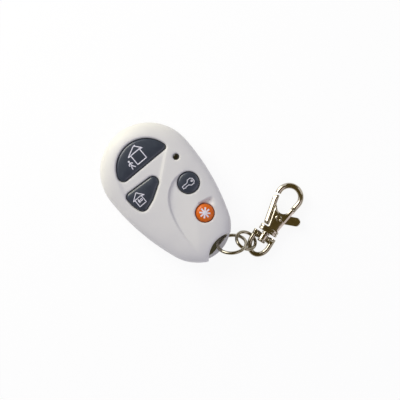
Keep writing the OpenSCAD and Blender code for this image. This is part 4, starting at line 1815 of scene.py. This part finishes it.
    def gate_ring(self, left: np.ndarray, right: np.ndarray, slim: float) -> np.ndarray:
        """A section of the gate: ridged, with a broad slope to its outer edge.

        Args:
            left: Point on its outer edge.
            right: Point on its inner edge.
            slim: Share of the full size.

        Returns:
            A closed ring of x, y and z.
        """
        upper = np.array(self.gate_edge)
        loop = np.concatenate([upper, [(-1.0, 0.0)], (upper[1:] * np.array([1, -1]))[::-1]]) * slim
        mid, reach_out = (left + right) / 2, (right - left) / 2
        return np.c_[mid + loop[:, :1] * reach_out, loop[:, 1] * (self.lever_t / 2)]

    def thumb(self) -> np.ndarray:
        """Outline of the thumb tab, from the pin to its round end.

        Returns:
            The closed loop.
        """
        pin, tab, wide = np.array(self.pin_at), np.array(self.thumb_at), self.thumb_half
        ahead = (tab - pin) / np.linalg.norm(tab - pin)
        side = np.array([-ahead[1], ahead[0]])
        base = bearing(ahead)
        return np.concatenate([
            straight(pin - side * wide, tab - side * wide, 16),
            arc(tab, wide, base - 90, base + 90, 24),
            straight(tab + side * wide, pin + side * wide, 16),
            arc(pin, wide, base + 90, base + 270, 24)[:-1]])

    def lever(self) -> None:
        """Makes the gate lever with its thumb tab."""

        def cap(edge: np.ndarray) -> np.ndarray:
            """The point of an edge that lies on the gate's end circle."""
            spots = edge[0] + np.linspace(0, 1, 2000)[:, None] * (edge[1] - edge[0])
            return spots[np.abs(away_from(spots, self.pin_at) - self.gate_reach).argmin()]

        left = cap(np.array([[-3.5, 5.4], [-5.6, 16.0]]))
        right = cap(np.array([[-2.4, 12.4], [-3.2, 16.0]]))
        foot_l, foot_r = np.array([-2.97, 3.65]), np.array([-0.8, 3.65])
        mesh, rings = Mesher(), []
        half = self.lever_t / 2
        for part in self.gate_parts:
            slim = 1 - 0.35 * (1 - min(min(part, 1 - part) / 0.04, 1)) ** 2
            edge_l, edge_r = foot_l + part * (left - foot_l), foot_r + part * (right - foot_r)
            rings.append(self.gate_ring(edge_l, edge_r, slim))
        mesh.loft(rings)
        web = np.array([[-2.6, 6.0], [0.6, 6.0], [1.9, 6.9], [1.4, 9.0], [-0.6, 9.9], [-2.3, 12.2]])
        mesh.plate(web, -half + 0.1, half - 0.1, 0.3)
        mesh.plate(self.thumb(), -half, half, 0.35)
        mesh.move(self.place)
        piece = mesh.object("gate_lever", sharp=40)
        self.paint.settle(piece, "lever", Body.LEVER, "lever_metal", "clip_lever")

    def rivet(self) -> None:
        """Makes the hollow rivet with a rolled head on each cheek."""
        half, hole, deep = self.clip_t / 2, self.pin_hole, self.clip_t / 2 - 0.9
        rim = [(hole, half - 0.3), (hole + 0.1, half + 0.02), (0.75, half + 0.17), (1.05, half + 0.19),
               (1.3, half + 0.1), (1.35, half + 0.01), (self.pin_d / 2, half)]
        web = [(AXIS_R, -deep), (AXIS_R, deep), (hole, deep)]
        mesh = Mesher()
        mesh.turned(web + rim + [(r, -z) for r, z in rim[::-1]] + [(hole, -deep)], 40)
        mesh.move(lambda p: self.place(p + np.array([*self.pin_at, 0])))
        piece = mesh.object("rivet", sharp=50)
        self.paint.settle(piece, "nickel", Body.CLIP, "plated_metal", "clip_pin")

    def build(self) -> None:
        """Makes the whole clip."""
        for make in (self.bail, self.post, self.hook, self.lever, self.rivet):
            make()


# Studio


@dataclass(frozen=True)
class SoftLamp:
    """One soft square lamp, in metres and watts."""

    name: str
    at: tuple[float, float, float]
    size: float
    watts: float
    colour: tuple[float, float, float]
    aim: tuple[float, float, float] = (0.01, 0.008, 0.005)

    def build(self) -> None:
        """Sets the lamp up, aimed at the fob."""
        light = bpy.data.lights.new(self.name, "AREA")
        light.size = self.size
        light.energy = self.watts
        light.color = self.colour
        stand = bpy.data.objects.new(self.name, light)
        stand.location = self.at
        stand.rotation_euler = (Vector(self.aim) - Vector(self.at)).to_track_quat("-Z", "Y").to_euler()
        bpy.context.scene.collection.objects.link(stand)


LAMPS = (
    SoftLamp("window_light", (-0.42, -0.06, 0.34), 0.30, 1.62, (1.0, 0.985, 0.935)),
    SoftLamp("edge_light", (-0.55, -0.03, 0.12), 0.22, 1.15, (1.0, 0.93, 0.56)),
    SoftLamp("fill_light", (0.40, 0.10, 0.40), 0.35, 0.45, (0.89, 0.84, 1.0)),
)


@dataclass
class Studio:
    """Floor, lights, world and camera, in metres.

    The mouth's band and the tail's disc are spots of the floor with a radius, half a width and a soft edge.
    Where they overlap, under the ring slot, the floor's colour is painted dark: a painted shadow, not a cast
    one.
    Cards are given by their low and high tilt and their first and last turn, in degrees.
    """

    right: tuple[float, float, float] = (0.6418, 0.7669, 0.0)
    up: tuple[float, float, float] = (-0.7669, 0.6418, 0.0)
    centre: tuple[float, float, float] = (0.00979, 0.00796, 0.006)
    width: float = 0.1538
    distance: float = 0.9
    sensor: float = 36.0
    floor_half: float = 3.0
    floor_z: float = -0.00005
    floor_glow: float = 0.9
    # Colour of the painted shadow on the floor under the ring slot.
    painted_slot_shadow: tuple[float, ...] = (0.046, 0.041, 0.022, 1)
    shadow_mouth_band: tuple[Any, ...] = ((0.0359, 0.0039, 0), 0.0092, 0.0012, 0.0011)
    shadow_tail_disc: tuple[Any, ...] = ((0.016, 0, 0), 0.0, 0.0127, 0.0009)
    sky: tuple[float, ...] = (0.90, 0.89, 1.0, 1)
    sky_strength: float = 0.44
    card_r: float = 0.8
    cards: tuple[tuple[float, ...], ...] = ((58, 90, 0, 360), (3, 58, -132, 62), (3, 58, 92, 146))
    card_colour: tuple[float, ...] = (0.135, 0.100, 0.032, 1)

    def camera(self) -> None:
        """Sets the camera straight above, turned as in the photograph."""
        eye = bpy.data.cameras.new("camera")
        eye.sensor_width = self.sensor
        eye.lens = self.sensor * self.distance / self.width
        eye.clip_end = 10
        stand = bpy.data.objects.new("camera", eye)
        right, up = Vector(self.right), Vector(self.up)
        look = right.cross(up)
        turn = Matrix((right, up, look)).transposed()
        stand.matrix_world = Matrix.Translation(Vector(self.centre) + look * self.distance) @ turn.to_4x4()
        bpy.context.scene.collection.objects.link(stand)
        bpy.context.scene.camera = stand

    @staticmethod
    def seen(wiring: Wiring) -> bpy.types.NodeSocket:
        """A mask of the rays that show the background: camera, glossy and transmission.

        Args:
            wiring: The tree that the mask is added to.

        Returns:
            The mask.
        """
        path = wiring.add("ShaderNodeLightPath").outputs
        shown = wiring.reckon("MAXIMUM", path["Is Camera Ray"], path["Is Glossy Ray"])
        return wiring.reckon("MAXIMUM", shown, path["Is Transmission Ray"])

    @staticmethod
    def backdrop(name: str, points: list[tuple[float, ...]], faces: list[tuple[int, ...]],
                 finish: str) -> tuple[bpy.types.Object, Wiring]:
        """A piece of the set with an empty material.

        Args:
            name: Name of the piece.
            points: Rows of x, y and z.
            faces: Point numbers of each face.
            finish: Name of the material.

        Returns:
            The piece and its material's tree, which has only an output.
        """
        mesh = bpy.data.meshes.new(name)
        mesh.from_pydata(points, [], faces)
        material = bpy.data.materials.new(finish)
        material.use_nodes = True
        material.node_tree.nodes.remove(material.node_tree.nodes["Principled BSDF"])
        mesh.materials.append(material)
        return link(name, mesh), Wiring(material.node_tree)

    def floor(self) -> None:
        """A wide pale floor that keeps the shadow, with a painted shadow in its colour where the ring slot
        lies on it.
        """
        far = self.floor_half
        corners = [(-far, -far, 0), (far, -far, 0), (far, far, 0), (-far, far, 0)]
        piece, wiring = self.backdrop("floor", corners, [(0, 1, 2, 3)], "pale_floor")
        piece.location.z = self.floor_z
        place = wiring.add("ShaderNodeTexCoord").outputs["Object"]

        def outside_shadow_spot(spot: Sequence[float], radius: float, half: float, soft: float) -> bpy.types.NodeSocket:
            """A mask that is 0 on a round band of the floor, where the painted shadow goes, and 1 away from
            its soft edge.

            Args:
                spot: Middle of the band.
                radius: Its radius.
                half: Half its width.
                soft: Width of its soft edge.

            Returns:
                The mask.
            """
            away = wiring.add("ShaderNodeVectorMath", {0: place, 1: spot}, operation="DISTANCE")
            off = wiring.reckon("ABSOLUTE", wiring.reckon("SUBTRACT", away.outputs["Value"], radius))
            fade = wiring.add("ShaderNodeMapRange", {"Value": off, "From Min": half, "From Max": half + soft})
            return fade.outputs["Result"]

        # Painted shadow: where both spots meet, under the ring slot, the floor's colour turns dark instead of
        # white.
        clear = wiring.reckon("MAXIMUM", outside_shadow_spot(*self.shadow_mouth_band), outside_shadow_spot(*self.shadow_tail_disc))
        tone = wiring.mixed(clear, self.painted_slot_shadow, WHITE)
        flat = wiring.add("ShaderNodeBsdfDiffuse", {"Color": tone})
        glow = wiring.add("ShaderNodeEmission", {"Color": tone, "Strength": 1.0})
        part = wiring.reckon("MULTIPLY", self.seen(wiring), self.floor_glow)
        mix = wiring.add("ShaderNodeMixShader", {
            "Fac": part, 1: flat.outputs["BSDF"], 2: glow.outputs["Emission"]})
        wiring.feed(wiring.nodes["Material Output"], {"Surface": mix.outputs["Shader"]})

    def world(self) -> None:
        """A white background that lights the object softly."""
        world = bpy.data.worlds.new("world")
        bpy.context.scene.world = world
        world.use_nodes = True
        wiring = Wiring(world.node_tree)
        sky = wiring.feed(wiring.nodes["Background"], {"Color": self.sky, "Strength": self.sky_strength})
        white = wiring.add("ShaderNodeBackground", {"Color": WHITE, "Strength": 1.0})
        mix = wiring.add("ShaderNodeMixShader", {
            "Fac": self.seen(wiring), 1: sky.outputs["Background"], 2: white.outputs["Background"]})
        wiring.feed(wiring.nodes["World Output"], {"Surface": mix.outputs["Shader"]})

    def dark_cards(self) -> None:
        """Dark cards over and round the set, seen only in reflections, as a dim room would be."""
        points, faces = [], []
        for low, high, start, end in self.cards:
            turns = np.linspace(start, end, 25)
            for a, b in zip(turns, turns[1:]):
                faces.append(tuple(range(len(points), len(points) + 4)))
                for tilt, turn in ((low, a), (low, b), (high, b), (high, a)):
                    flat, rise = self.card_r * toward(tilt)
                    points.append((*(flat * toward(turn)), rise))
        card, wiring = self.backdrop("dark_cards", points, faces, "dim_room")
        card.visible_camera = False
        card.visible_diffuse = False
        card.visible_shadow = False
        card.visible_transmission = False
        glow = wiring.add("ShaderNodeEmission", {"Color": self.card_colour})
        wiring.feed(wiring.nodes["Material Output"], {"Surface": glow.outputs["Emission"]})

    def build(self) -> None:
        """Sets the whole studio up."""
        bpy.context.scene.view_settings.view_transform = "Standard"
        self.camera()
        self.floor()
        self.world()
        self.dark_cards()
        for lamp in LAMPS:
            lamp.build()


def main() -> None:
    """Builds the studio and every piece in order."""
    logging.basicConfig(level=logging.INFO, format="%(name)s %(message)s")
    Studio().build()
    paint = Paint()
    case, keys = CaseShape(), Keys()
    wire, flat, rays = Sweep(Section.ROUND), Sweep(Section.FLAT), Rays()
    paint.settle(FrontShell(case, keys).build(), "shell", Body.FOB, "shell_plastic", "front_shell")
    paint.settle(RearShell(case).build(), "shell", Body.FOB, "shell_plastic", "rear_shell")
    KeySet(keys, paint, flat, rays).build()
    for ring in RINGS:
        ring.build(wire, paint)
    Clip(wire, paint).build()
    paint.carried()


if __name__ == "__main__":
    main()
